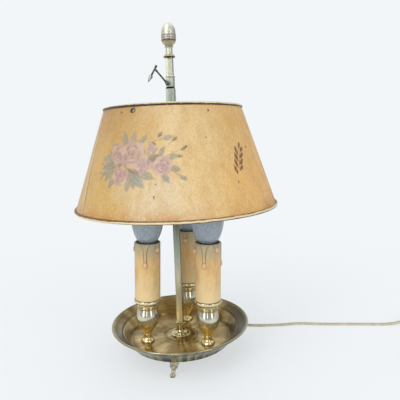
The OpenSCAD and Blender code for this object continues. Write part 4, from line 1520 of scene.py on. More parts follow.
@dataclass
class SwitchAndPlug:
    """The in-line rocker switch, the moulded plug and the band round the coil."""

    start: Point = (284.0, 30.0, 0.0)
    length: float = 54.0
    width: float = 20.0
    height: float = 14.0
    split: float = 6.5
    wall: float = 1.8
    end_share: float = 0.56
    rocker_l: float = 13.4
    rocker_w: float = 9.0
    rocker_tilt: float = 7.0
    pivot_r: float = 1.0
    pivot_l: float = 12.6
    plug_start: Point = (286.0, -74.0, 0.0)
    plug_w: float = 35.3
    plug_h: float = 13.7
    plug_l: float = 36.0
    band_place: Place = (325.0, 2.0)
    band_w: float = 5.0

    def switch_corners(self, inset: float = 0.0) -> list[Place]:
        """Gives the switch's outline from above.

        Args:
            inset: How far inside the housing's side.

        Returns:
            Its corners.
        """
        end = self.width * self.end_share / 2 - inset
        side = self.width / 2 - inset
        x, y = self.start[0], self.start[1]
        places = [(inset, -end), (8, -side), (self.length - 8, -side),
                  (self.length - inset, -end), (self.length - inset, end),
                  (self.length - 8, side), (8, side), (inset, end)]
        return [(x + a, y + b) for a, b in places]

    def hollow(self, piece: Piece, low: float, high: float) -> Piece:
        """Takes the room for the wiring, between two heights, out of half the housing."""
        return cut(piece, prism("room", self.switch_corners(self.wall), low, high))

    def build_switch(self) -> None:
        """Makes the two housing halves and the rocker."""
        black = MouldedPlastic("dark_brown_abs", "#2E2622", "#221C19", 0.34).make()
        x, y = self.start[0], self.start[1]
        middle = x + self.length / 2
        base = rounded(prism("switch_housing_base", self.switch_corners(), 0.0, self.split),
                       0.9)
        base = self.hollow(base, self.wall, 20.0)
        dress(base, black, Body.BASE, ["switch_base"])
        cover = rounded(prism("switch_housing_cover", self.switch_corners(),
                              self.split + 0.02, self.height), 1.2)
        cover = self.hollow(cover, -2.0, self.height - self.wall)
        window = (self.rocker_l / 2 + 0.9, self.rocker_w / 2 + 0.4)
        cover = cut(cover, block("window", (middle - window[0], y - window[1], 6.0),
                                 (middle + window[0], y + window[1], 20.0)))
        smooth(cover, 40.0)
        dress(cover, black, Body.BASE, ["switch_cover"])
        half = self.rocker_l / 2
        rocker = block("switch_rocker_key", (-half, -self.rocker_w / 2, -2.6),
                       (half, self.rocker_w / 2, 3.4))
        rocker = rounded(rocker, 0.6)
        with shaping(rocker):
            pick(rocker, lambda face: face.normal.z > 0.99)
            bpy.ops.mesh.inset(thickness=0.9 * MM, depth=-0.35 * MM)
        pivot = turned("pivot", [(0, -self.pivot_l / 2), (self.pivot_r, -self.pivot_l / 2),
                                 (self.pivot_r, self.pivot_l / 2), (0, self.pivot_l / 2)], 32)
        pivot.data.transform(turn_by(90, "X"))
        rocker = joined("switch_rocker_key", [rocker, pivot])
        rocker.data.transform(shift(middle, y, self.height - 1.6)
                              @ turn_by(self.rocker_tilt, "Y"))
        dress(rocker, MouldedPlastic("black_abs", "#1B1A1A", "#131212", 0.28).make(),
              Body.ROCKER, ["switch_rocker"])

    def build_plug(self) -> None:
        """Makes the plug's body with its grip ribs."""
        x, y = self.plug_start[0], self.plug_start[1]
        face, tail, back = self.plug_w / 2, 3.5, self.plug_l
        places = [(0, -tail - 0.5), (0, tail + 0.5), (-14, tail + 2.5), (-back + 8, face - 1),
                  (-back + 2, face), (-back, face - 2), (-back, 2 - face), (-back + 2, -face),
                  (-back + 8, 1 - face), (-14, -tail - 2.5)]
        plug = rounded(prism("plug_moulding", [(x + a, y + b) for a, b in places],
                             0.0, self.plug_h), 1.6, 4)
        for i in range(4):
            at = x - 4.0 - 2.6 * i
            for side in (-1, 1):
                up = self.plug_h / 2 + side * 6.4
                plug = cut(plug, block("slot", (at - 0.6, y - 20, up - 0.6),
                                       (at + 0.6, y + 20, up + 0.6)))
        smooth(plug, 40.0)
        dress(plug, MouldedPlastic("dark_pvc", "#332A24", "#28211D", 0.42).make(),
              Body.BASE, ["plug_body"])

    def build_band(self) -> None:
        """Makes the band that ties the coil."""
        x, y = self.band_place
        half = self.band_w / 2
        band = block("coil_band", (x - half, y - 7.7, 0.0), (x + half, y + 7.7, 10.8))
        band = rounded(band, 1.0, 3)
        band = cut(band, block("opening", (x - 9, y - 6.9, 0.8), (x + 9, y + 6.9, 10.0)))
        smooth(band, 40.0)
        dress(band, MouldedPlastic("black_tie_rubber", "#2B2B2C", "#202021", 0.6).make(),
              Body.BASE, ["coil_tie"])

    def build(self) -> None:
        """Builds the switch, the plug and the band, and plates the metal parts."""
        self.build_switch()
        self.build_plug()
        self.build_band()
        dress_nodes(PlatedSteel("nickel_plated_steel").make(),
                    "plug_pins", "switch_screws", "switch_contacts")


# Tray, feet and cover


@dataclass
class TrayBase:
    """The dished brass tray with the wiring's cover under it.

    Each groove in its floor is a radius, half a width and a depth, and the crease is a
    low ridge round its wall.
    """

    rim_r: float = 75.0
    floor_r: float = 54.6
    wall_t: float = 2.0
    bead_r: float = 1.1
    grooves: tuple[Point, ...] = ((17.8, 1.8, 0.5), (23.4, 0.7, 0.18), (49.6, 0.8, 0.2))
    cover_r: float = 44.8
    cover_taper: float = 4.8
    cover_z: float = 10.0
    cover_side_z: float = 13.2
    cover_t: float = 0.8
    nut_r: float = 6.0
    nut_h: float = 2.6
    knurls: int = 36
    knurl: float = 0.94
    crease_r: float = 62.0
    crease_h: float = 0.35

    def tray_outline(self) -> Outline:
        """Draws the tray from the middle of its floor: grooves, wall, rolled rim and underside.

        Returns:
            The outline's places, all the way round.
        """
        foot = (self.floor_r, FLOOR_Z)
        lip = (self.rim_r - 1.5 * self.bead_r, RIM_Z - self.bead_r)
        pull = (self.floor_r + 4.8, FLOOR_Z + (RIM_Z - FLOOR_Z) * 0.56)
        grooves = []
        for centre, width, depth in self.grooves:
            grooves += [(centre - width, FLOOR_Z)]
            grooves += [(centre + width * math.cos(math.pi * (1 - i / 6)) * 0.8,
                         FLOOR_Z - depth * math.sin(math.pi * i / 6)) for i in range(7)]
            grooves += [(centre + width, FLOOR_Z)]
        inner = [(r, z + self.crease_h * math.exp(-((r - self.crease_r) / 0.7) ** 2))
                 for r, z in bend_points(foot, pull, lip, 72)]
        centre = (self.rim_r - self.bead_r, RIM_Z - self.bead_r)
        bead = arc_points(centre, self.bead_r, 150, -110, 14)
        outer = bend_points(
            (lip[0] + 0.3, lip[1] - self.wall_t),
            (pull[0] + self.wall_t, pull[1] - self.wall_t * 0.6),
            (self.floor_r + 1.2, FOOT_H + 1.2), 24)
        corner = arc_points((self.floor_r, FOOT_H + 1.2), 1.2, 0, -90, 5)
        low = [(0, FOOT_H), (0, FLOOR_Z)]
        return low + grooves + inner[:-1] + bead + outer[1:] + corner[1:]

    def build(self) -> None:
        """Builds the tray, the cover and the cover's nut."""
        tray = turned("dished_tray", self.tray_outline(), 160, 40.0)
        # Painted light on the tray: painted sheen in fans, painted shade on faces that look down,
        # in corners and on the wall, and a painted highlight on the rim's crest.
        brass = AgedBrass("aged_spun_brass_tray", bright="#E0C688", dull="#806530",
                          tarnish="#3F3218", roughness=0.17, patch_mm=26.0, fan_mm=26.0,
                          ring_mm=1.4, underside_shade=0.95, edge_r=self.rim_r, metallic=0.82)
        dress(tray, brass.make(), Body.BASE, ["tray"])
        lower = self.cover_r - self.cover_taper
        cover_outline = [
            (STUD_R + 0.1, self.cover_z), (lower, self.cover_z),
            (self.cover_r, self.cover_side_z), (self.cover_r, FOOT_H),
            (self.cover_r - self.cover_t, FOOT_H),
            (self.cover_r - self.cover_t, self.cover_side_z + 0.4),
            (lower - 0.3, self.cover_z + self.cover_t), (STUD_R + 0.1, self.cover_z + self.cover_t)]
        cover = rounded(turned("underside_cover", cover_outline, 128), 0.3, 2)
        dull = AgedBrass("unpolished_pressed_brass", bright="#8F7B4A", dull="#6E5F3A",
                         tarnish="#3A3220", roughness=0.38, patch_mm=12.0, ring_mm=2.0)
        dress(cover, dull.make(), Body.BASE, ["cover_plate"])
        self.build_nut()

    def build_nut(self) -> None:
        """Makes the knurled nut that holds the cover."""
        clear_selection()
        bpy.ops.mesh.primitive_cylinder_add(
            vertices=2 * self.knurls, radius=self.nut_r * MM, depth=self.nut_h * MM,
            location=(0, 0, (self.cover_z - self.nut_h / 2) * MM))
        nut = named("knurled_cover_nut")
        for vertex in nut.data.vertices:
            if round(math.atan2(vertex.co.y, vertex.co.x) / (math.pi / self.knurls)) % 2:
                vertex.co.x *= self.knurl
                vertex.co.y *= self.knurl
        nut = rounded(nut, 0.15, 1, 60.0)
        bore = turned("bore", [(0, 0), (STUD_R + 0.05, 0), (STUD_R + 0.05, 20), (0, 20)], 48)
        nut = cut(nut, bore)
        smooth(nut, 25.0)
        dress(nut, AgedBrass("turned_brass_nut").make(), Body.BASE, ["cover_nut"])


@dataclass
class CastFeet:
    """Three cast feet: a leaf that folds over a slim shin, and a hoof."""

    place_r: float = 50.2
    pad_r: float = 5.3
    hoof_r: float = 2.8
    splay: float = 9.0
    angles: tuple[float, float, float] = (260.0, 20.0, 140.0)
    names: tuple[str, str, str] = ("front", "right", "left")

    def lump(self, place: Point, size: Point, tilt: float = 0.0) -> Piece:
        """Adds an oval lump of metal.

        Args:
            place: Its middle, in millimetres.
            size: Half its size along each axis.
            tilt: Its tilt about Y, in degrees.

        Returns:
            The lump.
        """
        clear_selection()
        bpy.ops.mesh.primitive_uv_sphere_add(segments=32, ring_count=20, radius=MM)
        lump = named("lump")
        lump.data.transform(Matrix.Translation(Vector(place) * MM) @ turn_by(tilt, "Y")
                            @ Matrix.Diagonal((*size, 1.0)))
        return lump

    def pattern(self) -> Piece:
        """Models one foot in its own frame, with +X pointing outwards.

        Returns:
            The foot.
        """
        height, pad, hoof = FOOT_H, self.pad_r, self.hoof_r
        shin = smooth_outline([
            (hoof * 0.98, -1.5), (hoof, 1.4), (hoof * 0.86, 2.6), (hoof * 0.8, height * 0.3),
            (hoof * 0.92, height * 0.45), (pad * 0.58, height * 0.58),
            (pad * 0.84, height - 3.8), (pad * 0.97, height - 1.2), (pad * 0.97, height + 1.5),
        ], 4)
        core = turned("shin", [(0, -1.5)] + shin + [(0, height + 1.5)], 48)
        parts = [core]
        for side in (-1, 1):
            parts.append(self.lump((pad * 0.56, side * pad * 0.42, height - 3.4),
                                   (2.0, 1.75, 2.5), 14))
            parts.append(self.lump((pad * 0.3, side * pad * 0.62, height - 6.2),
                                   (1.2, 1.0, 1.9), 10))
            parts.append(self.lump((hoof * 0.55, side * 1.0, 1.6), (1.7, 1.15, 1.8)))
        parts.append(self.lump((pad * 0.52, 0, height - 7.4), (1.15, 1.2, 2.6), 16))
        parts.append(self.lump((hoof * 0.35, 0, height * 0.33), (2.1, 1.2, 1.0)))
        foot = melted(joined("foot_pattern", parts), 0.3, 3)
        foot.data.transform(shift(0, 0, height / 2) @ turn_by(-self.splay, "X")
                            @ shift(0, 0, -height / 2))
        foot = sliced(foot, 0.0, True)
        foot = sliced(foot, height, False)
        return smooth(foot, 60.0)

    def build(self) -> None:
        """Copies the foot to its three places."""
        pattern = self.pattern()
        # Painted shade on the feet: in corners and on faces that look down.
        brass = AgedBrass("cast_brass_feet", bright="#DAD3BC", dull="#ABA189",
                          tarnish="#2F2C20", roughness=0.26, patch_mm=4.0, corner_shade=0.95,
                          underside_shade=0.5, metallic=0.75).make()
        for name, angle in zip(self.names, self.angles):
            foot = copied(pattern, f"cast_foot_{name}", round_the_stem(angle, self.place_r))
            dress(foot, brass, Body.BASE, [f"foot_{name}"])
        discard(pattern)


# Stem


@dataclass
class Stem:
    """The square stem with its turned flange."""

    flange_r: float = 10.75
    flange_h: float = 14.0
    stud_end_z: float = 6.8

    def build_flange(self) -> None:
        """Turns the flange."""
        r, h, neck, cap = self.flange_r, self.flange_h, STEM_SIDE * 0.57, STEM_SIDE * 0.74
        bore = STUD_R + 0.05
        outline = [(bore, 0), (r, 0)] + arc_points((r - 0.8, 0.8), 0.8, 0, 90, 6)[1:]
        outline += [(r - 2, 1.8), (r - 2.3, 2.6), (r - 3.3, 2.8)]
        outline += bend_points((r - 3.6, 3.3), (neck, 4), (neck, h * 0.56), 14)
        outline += [(neck, h - 3.2), (cap - 0.3, h - 2.4), (cap, h - 2.0), (cap, h - 0.3),
                    (cap - 0.3, h), (bore, h)]
        flange = turned("turned_stem_flange", [(a, b + FLOOR_Z) for a, b in outline], 96)
        brass = AgedBrass("polished_turned_brass_flange", bright="#DED3AC", dull="#BDAE80",
                          roughness=0.15, patch_mm=6.0, dent=0.1)
        dress(flange, brass.make(), Body.BASE, ["escutcheon"])

    def build(self) -> None:
        """Builds the flange and the stem."""
        self.build_flange()
        half, low, end = STEM_SIDE / 2, FLOOR_Z + self.flange_h, self.stud_end_z
        bar = rounded(block("bar", (-half, -half, low), (half, half, STEM_TOP_Z)), 0.45, 3)
        stud = turned("stud", [(0, end), (STUD_R - 0.4, end), (STUD_R, end + 0.4),
                               (STUD_R, low), (0, low)], 48)
        tip = STEM_TOP_Z + PIN_L
        pin = turned("pin", [(0, STEM_TOP_Z), (PIN_R, STEM_TOP_Z), (PIN_R, tip), (0, tip)], 48)
        stem = joined("square_stem", [bar, stud, pin])
        stem.data.transform(turn_by(-STEM_TURN, "Z"))
        plate = StemPlate("worn_plated_brass_bar")
        dress(smooth(stem, 40.0), plate.make(), Body.BASE, ["stem"])


# Candle lights


@dataclass
class CandleLights:
    """Three baluster cups with candle sleeves, lampholders and bulbs."""

    cup_foot_r: float = 7.2
    belly_r: float = 12.2
    lip_r: float = 14.3
    dish_r: float = 13.6
    sleeve_r: float = 13.5
    sleeve_t: float = 1.5
    sleeve_h: float = 64.0
    sleeve_steps: int = 192
    sleeve_rows: int = 112
    stream_r: float = 1.5
    funnel_r: float = 4.4
    funnel_h: float = 3.2
    drop_r: float = 2.2
    drop_out: float = 1.6
    line_w: float = 0.34
    bulb_r: float = 17.0
    bulb_h: float = 72.5
    glass_t: float = 0.8
    cap_r: float = 6.9
    cap_top_h: float = 106.3
    # Cup tone by height: pale silver on the upper belly and warm gold below, partly worn silvering
    # and partly painted reflections of the window above and the tray below.
    silvering_and_reflections: Bands = (
        (0.0, "#F1E0B6"), (0.1, "#EED79C"), (0.2, "#F0D38A"), (0.36, "#EBCB78"),
        (0.46, "#DFC988"), (0.58, "#D9D5BE"), (0.74, "#D2CFBC"), (0.83, "#C4B07C"),
        (1.0, "#EBDDB4"))

    def cup_pattern(self) -> Piece:
        """Turns one cup on its own axis, with a shallow dish for the sleeve.

        Returns:
            The cup.
        """
        h, foot_r, belly, lip = CUP_H, self.cup_foot_r, self.belly_r, self.lip_r
        waist = foot_r * 0.55
        foot = smooth_outline([
            (foot_r, 0), (foot_r, 1.2), (foot_r - 0.8, 2.6), (foot_r * 0.68, 4),
            (waist + 0.15, h * 0.115), (waist, h * 0.155)], 5)
        collar = arc_points((waist + 0.1, h * 0.185), 0.65, -80, 80, 8)
        body = smooth_outline([
            (waist + 0.5, h * 0.21), (belly * 0.47, h * 0.25), (belly * 0.66, h * 0.325),
            (belly * 0.87, h * 0.42), (belly * 0.985, h * 0.52), (belly, h * 0.58),
            (belly * 0.965, h * 0.655), (belly * 0.88, h * 0.74), (belly * 0.83, h * 0.785)], 6)
        ring = arc_points((belly * 0.84, h * 0.8175), 0.85, -75, 75, 8)
        rim = smooth_outline([
            (belly * 0.83, h * 0.85), (lip * 0.7, h * 0.885), (lip * 0.77, h * 0.91),
            (lip * 0.93, h * 0.93), (lip, h * 0.95)], 5)
        outline = [(0, -0.8), (foot_r, -0.8)] + foot + collar + body + ring + rim
        outline += [(lip, h - 0.6), (lip - 0.1, h - 0.2), (lip - 0.3, h), (self.dish_r, h),
                    (self.dish_r, SEAT_H), (0, SEAT_H)]
        return turned("cup_pattern", outline, 112, 34.0)

    def build_cups(self) -> None:
        """Sets a cup at each light, and trims its foot level with the tray."""
        pattern = self.cup_pattern()
        for light in LIGHTS:
            cup = copied(pattern, f"baluster_cup_{light.name}", light.axis())
            cup = sliced(cup, FLOOR_Z, True)
            spigot = turned("spigot", [(0, 13.4), (4, 13.4), (4, FLOOR_Z + 0.5),
                                       (0, FLOOR_Z + 0.5)], 48)
            spigot.data.transform(round_the_stem(light.angle, light.place_r))
            cup = smooth(joined(f"baluster_cup_{light.name}", [cup, spigot]), 34.0)
            # The sides (0.6, 0.6) are darkened as painted shade.
            brass = BandedBrass(
                f"silvered_brass_painted_reflections_{light.name}", 0.0, CUP_H, self.silvering_and_reflections, "#7A6438",
                0.11, 8.0, 0.75, light.foot, light.lean, (0.6, 0.6), 0.12)
            dress(cup, brass.make(), Body.BASE, [f"candle_cup_{light.name}"])
        discard(pattern)

    def drip_mark(self, around: float, below: float, drip: Place) -> Point:
        """The wax that one drip adds at a place on the sleeve.

        Args:
            around: Angle on the sleeve, in degrees.
            below: Distance below the sleeve's top.
            drip: The drip's angle and length.

        Returns:
            The wax's height, how much of it is the drop, and the strength of the painted shadow
            line along its edge.
        """
        angle, length = drip
        off = abs(between(around, angle)) * math.pi / 180 * self.sleeve_r
        if off > 2 * self.funnel_r or below > length + 2 * self.drop_r:
            return 0.0, 0.0, 0.0
        spread = self.stream_r + self.funnel_r * math.exp(-below / self.funnel_h)
        stream = edge = 0.0
        if below < length - self.drop_r:
            stream = 0.5 * math.exp(-(off / spread) ** 6)
            edge = math.exp(-((off - spread) / self.line_w) ** 2)
        down = below - length
        tall = self.drop_r * (1.0 if down > 0 else 1.7)
        reach = math.hypot(off / self.drop_r, down / tall)
        drop = self.drop_out * math.sqrt(1 - reach ** 2) if reach < 1 else 0.0
        # Painted shade: a dark line round the drop, stronger below it.
        rim = math.exp(-((reach - 1.05) * self.drop_r / self.line_w) ** 2)
        shaded = 1.0 if down > -0.5 else 0.6
        shine = min(1.0, 1.6 * drop) if drop > stream else 0.0
        return max(stream, drop), shine, max(edge, rim * shaded)

    def build_sleeve(self, light: Light) -> Piece:
        """Models one sleeve as a tube whose outside is raised where the wax ran.

        Args:
            light: The light that it belongs to.

        Returns:
            The sleeve, at its place.
        """
        outer, inner, top = self.sleeve_r, self.sleeve_r - self.sleeve_t, self.sleeve_h
        rows = [(outer, top * i / self.sleeve_rows) for i in range(self.sleeve_rows)]
        outline = [(inner, 0)] + rows + [(outer, top - 0.35), (outer - 0.35, top),
                                         (inner + 0.3, top), (inner, top - 0.3), (inner, top / 2)]
        sleeve = turned(f"wax_sleeve_{light.name}", outline, self.sleeve_steps, 50.0)
        drops, shadow_lines = [], []
        for vertex in sleeve.data.vertices:
            x, y, z = vertex.co / MM
            radius = math.hypot(x, y)
            if radius < outer - 0.1:
                drops.append(0.0)
                shadow_lines.append(0.0)
                continue
            around = math.degrees(math.atan2(y, x))
            wax = [self.drip_mark(around, top - z, drip) for drip in light.drips]
            height, drop, edge = (max(part) for part in zip(*wax))
            fade = min(1.0, (top - z) / 1.2)
            drops.append(drop)
            shadow_lines.append(edge * (1 - drop))
            grow = (radius + height * fade) / radius
            vertex.co.x *= grow
            vertex.co.y *= grow
        mark(sleeve, "drip", drops)
        mark(sleeve, "drip_shadow_line", shadow_lines)
        sleeve.data.transform(light.axis(SEAT_H))
        return smooth(sleeve, 70.0)

    def glass_r(self, height: float, radius: float) -> float:
        """Gives the glass's radius at a height above its cap.

        Args:
            height: The height.
            radius: The glass's largest radius.

        Returns:
            The radius there.
        """
        belly_h = self.bulb_h * 0.44
        if height < belly_h:
            return radius * math.sqrt(1 - ((belly_h - height) / (belly_h * 1.056)) ** 2)
        share = (height - belly_h) / (self.bulb_h - belly_h)
        return radius * math.sqrt(max(0.0, 1 - share ** 2)) * (1 - 0.16 * share ** 2)

    def glass_line(self, start: float, end: float, thin: float) -> Outline:
        """Gives the glass's outline between two heights.

        Args:
            start: The lower height, above the cap.
            end: The upper height.
            thin: How much is taken off the radius.

        Returns:
            The outline's places.
        """
        line = []
        for i in range(41):
            height = start + (end - start) * math.sin(math.pi / 2 * i / 40)
            line.append((max(self.glass_r(height * self.bulb_h / end, self.bulb_r) - thin, 0.0),
                         height))
        line[-1] = (0.0, end)
        return line

    def build_bulb(self, light: Light) -> None:
        """Models one bulb's glass.

        Args:
            light: The light that it belongs to.
        """
        neck = self.cap_r - 0.6
        outer = self.glass_line(1.6, self.bulb_h, 0.0)
        inner = self.glass_line(1.6, self.bulb_h - self.glass_t, self.glass_t)
        outline = ([(neck, -6), (neck, 0.4)] + outer + inner[::-1]
                   + [(neck - self.glass_t, 0.6), (neck - self.glass_t, -6)])
        glass = turned(f"bulb_envelope_{light.name}", outline, 96, 60.0)
        glass.data.transform(light.axis(self.cap_top_h))
        finish = BulbGlass(f"grey_bulb_glass_{light.name}", light.foot, light.lean)
        dress(glass, finish.make(), light.bulb, [f"bulb_glass_{light.name}"])

    def build(self) -> None:
        """Builds the cups, sleeves and bulbs, and dresses the lampholders."""
        self.build_cups()
        bakelite = MouldedPlastic("pressed_bakelite", "#2A211C", "#1E1815", 0.3).make()
        nickel = PlatedSteel("nickel_plated_brass", "#A9AAA5", "#7B7C77", 0.3).make()
        for light in LIGHTS:
            sleeve = self.build_sleeve(light)
            card = WaxCard(f"waxed_card_{light.name}", light.foot, light.lean)
            dress(sleeve, card.make(), Body.BASE, [f"candle_sleeve_{light.name}"])
            self.build_bulb(light)
            dress_nodes(bakelite, f"lampholder_{light.name}")
            dress_nodes(nickel, f"bulb_cap_{light.name}")


# Shade


@dataclass(frozen=True)
class Stroke:
    """One brush mark: its place, half length, half width, turn and colour."""

    across: float
    up: float
    long: float
    wide: float
    turn: float
    colour: str
    cover: float = 0.85

    def reach(self, across: float, up: float) -> float:
        """Gives how much paint the mark leaves at a place.

        Args:
            across: The place's distance across.
            up: Its distance up.

        Returns:
            From 0 to the mark's cover.
        """
        dx, dy = across - self.across, up - self.up
        if abs(dx) > 1.3 * self.long + 1 or abs(dy) > 1.3 * self.long + 1:
            return 0.0
        c, s = way_of(self.turn)
        along, aside = (dx * c + dy * s) / self.long, (dy * c - dx * s) / self.wide
        pointed = aside / max(0.15, 1 - 0.75 * along * along)
        far = along * along + pointed * pointed
        return self.cover * min(1.0, max(0.0, (1.35 - far) / 0.8))


# A painting's angle, height and marks
Painting = tuple[float, float, list[Stroke]]


@dataclass
class PaintedFlowers:
    """A spray of roses and leaves in the old painted-tin manner, and a small sprig."""

    rose: str = "#AC918B"
    rose_pale: str = "#C4A699"
    rose_dark: str = "#8A6B66"
    plum: str = "#AB8C90"
    leaf: str = "#8D8B7C"
    leaf_blue: str = "#808C88"
    leaf_grey: str = "#A0957F"
    line: str = "#685D4E"
    size: float = 0.93
    sprig: str = "#6A432A"

    def arc_marks(self, middle: Place, radius: float, count: int, start: float, share: float,
                  wide: float, colours: Sequence[str], cover: float) -> list[Stroke]:
        """Marks laid in a ring, each along the ring.

        Args:
            middle: The ring's middle.
            radius: Its radius.
            count: How many marks it has.
            start: The first one's angle.
            share: How much of its part of the ring a mark covers.
            wide: Half a mark's width.
            colours: Colours that the marks take in turn.
            cover: How well they cover.

        Returns:
            The marks.
        """
        marks = []
        for i in range(count):
            angle = start + 360 * i / count
            c, s = way_of(angle)
            marks.append(Stroke(middle[0] + radius * c, middle[1] + radius * s,
                                share * math.pi * radius / count, wide, angle + 90,
                                colours[i % len(colours)], cover))
        return marks

    def rose_marks(self, across: float, up: float, size: float, turn: float,
                   body: str) -> list[Stroke]:
        """Paints a rose: a round ground, rings of petals, their shadows and a dark heart.

        Args:
            across: Its middle, across.
            up: Its middle, up.
            size: Its radius.
            turn: Its turn, in degrees.
            body: Its ground's colour.

        Returns:
            Its marks.
        """
        middle = (across, up)
        marks = [Stroke(across, up, size, 0.94 * size, turn, body, 0.9)]
        marks += self.arc_marks(middle, 0.8 * size, 6, turn, 0.95, 0.3 * size,
                                (self.rose_pale, body), 0.6)
        marks += self.arc_marks(middle, 1.02 * size, 6, turn + 30, 0.7, 0.05 * size + 0.2,
                                (self.line,), 0.3)
        marks += self.arc_marks(middle, 0.56 * size, 5, turn + 20, 0.85, 0.07 * size + 0.15,
                                (self.rose_dark,), 0.6)
        marks += self.arc_marks(middle, 0.42 * size, 4, turn + 50, 0.8, 0.13 * size,
                                (self.rose_pale, body), 0.55)
        marks += self.arc_marks(middle, 0.26 * size, 3, turn + 10, 0.8, 0.06 * size + 0.12,
                                (self.rose_dark,), 0.65)
        marks.append(Stroke(across, up, 0.14 * size, 0.1 * size, 20, self.rose_dark, 0.7))
        return marks

    def leaf_marks(self, across: float, up: float, size: float, turn: float,
                   colour: str) -> list[Stroke]:
        """Paints a leaf with one lit half, a dark midrib and a thin outline.

        Args:
            across: Its middle, across.
            up: Its middle, up.
            size: Half its length.
            turn: Its turn, in degrees.
            colour: Its colour.

        Returns:
            Its marks.
        """
        c, s = way_of(turn)
        half = 0.42 * size
        marks = [Stroke(across, up, size, half, turn, colour, 0.85),
                 Stroke(across - 0.4 * half * s, up + 0.4 * half * c, 0.75 * size, 0.3 * half,
                        turn, self.leaf_grey, 0.5),
                 Stroke(across, up, 0.95 * size, 0.35, turn, self.line, 0.55)]
        for side in (-1, 1):
            marks.append(Stroke(across - side * 0.72 * half * s, up + side * 0.72 * half * c,
                                0.7 * size, 0.34, turn - side * 9, self.line, 0.4))
        return marks

    def spray(self) -> list[Stroke]:
        """Paints the whole spray, measured from its middle.

        Returns:
            Its marks, the lowest coat first.
        """
        marks: list[Stroke] = []
        for across, up, long, turn in (
                (17, 19, 12, 12), (35, 8, 9, 28), (40, -12, 8, 332), (-38, -10, 8, 215),
                (-33, 10, 7, 150), (30, 17, 6, 50)):
            marks.append(Stroke(across, up, long, 0.4, turn, self.line, 0.6))
        for across, up, size, turn, colour in (
                (-15, -1, 9, 240, self.line), (15, 3, 8, 20, self.line),
                (-2, -10, 8, 330, self.line), (-27, -3, 8, 200, self.line),
                (-34, -4, 9, 195, self.leaf_blue), (-31, 4, 8, 162, self.leaf_blue),
                (-31, -12, 9, 222, self.leaf), (-39, 3, 5.5, 150, self.leaf_grey),
                (-38, -11, 5.5, 205, self.leaf_blue), (-27, -19, 6.5, 243, self.leaf_blue),
                (-28, 14, 6.5, 130, self.leaf_grey), (-15, 21, 8, 108, self.leaf),
                (-6, 23, 7, 80, self.leaf_grey), (4, 20, 6.5, 52, self.leaf),
                (-4, -16, 9.5, 296, self.leaf), (3, -17, 9.5, 318, self.leaf_blue),
                (10, -12, 9, 336, self.leaf), (-8, -22, 6, 280, self.leaf_grey),
                (14, 9, 7, 28, self.leaf_grey), (23, 9, 6, 62, self.leaf),
                (34, 4, 6, 18, self.leaf_grey), (37, -7, 6, 342, self.leaf),
                (29, -15, 6, 312, self.leaf_blue), (27, 21, 6, 8, self.leaf_grey),
                (20, 24, 3.6, 50, self.line), (15, 16, 3.4, 320, self.line),
                (43, 11, 3.6, 30, self.line), (40, 4, 3.2, 350, self.line),
                (45, -15, 4.6, 335, self.leaf), (34, 20, 3.4, 30, self.line)):
            marks += self.leaf_marks(across, up, size, turn, colour)
        for across, up, size, turn, body in (
                (-22, 7, 9.5, 15, self.rose), (7, -3, 8.0, 80, self.plum),
                (-17, -12, 9.0, 75, self.plum), (-6, 7, 13.0, 40, self.rose),
                (25, -4, 9.0, 10, self.plum), (13, 12, 4.5, 30, self.rose)):
            marks += self.rose_marks(across, up, size, turn, body)
        for across, up, turn in ((-43, -2, 150), (-44, -10, 205), (-42, -16, 232)):
            marks.append(Stroke(across, up, 4.0, 0.8, turn, self.rose_dark, 0.7))
        return [replace(mark, across=mark.across * self.size, up=mark.up * self.size,
                        long=mark.long * self.size) for mark in marks]

    def small_sprig(self) -> list[Stroke]:
        """Paints the sprig of brown strokes, measured from its middle.

        Returns:
            Its marks.
        """
        marks = [Stroke(0.0, -1.0, 11.0, 0.6, 66, self.sprig, 0.7)]
        for i in range(4):
            up = 8.0 - 5.4 * i
            lean = 0.42 * up
            marks.append(Stroke(lean - 3.6, up, 4.8, 1.75, 100, self.sprig, 1.0))
            marks.append(Stroke(lean + 3.8, up + 1.0, 4.6, 1.65, 38, self.sprig, 1.0))
        marks.append(Stroke(5.4, 13.0, 3.8, 1.7, 66, self.sprig, 1.0))
        return marks


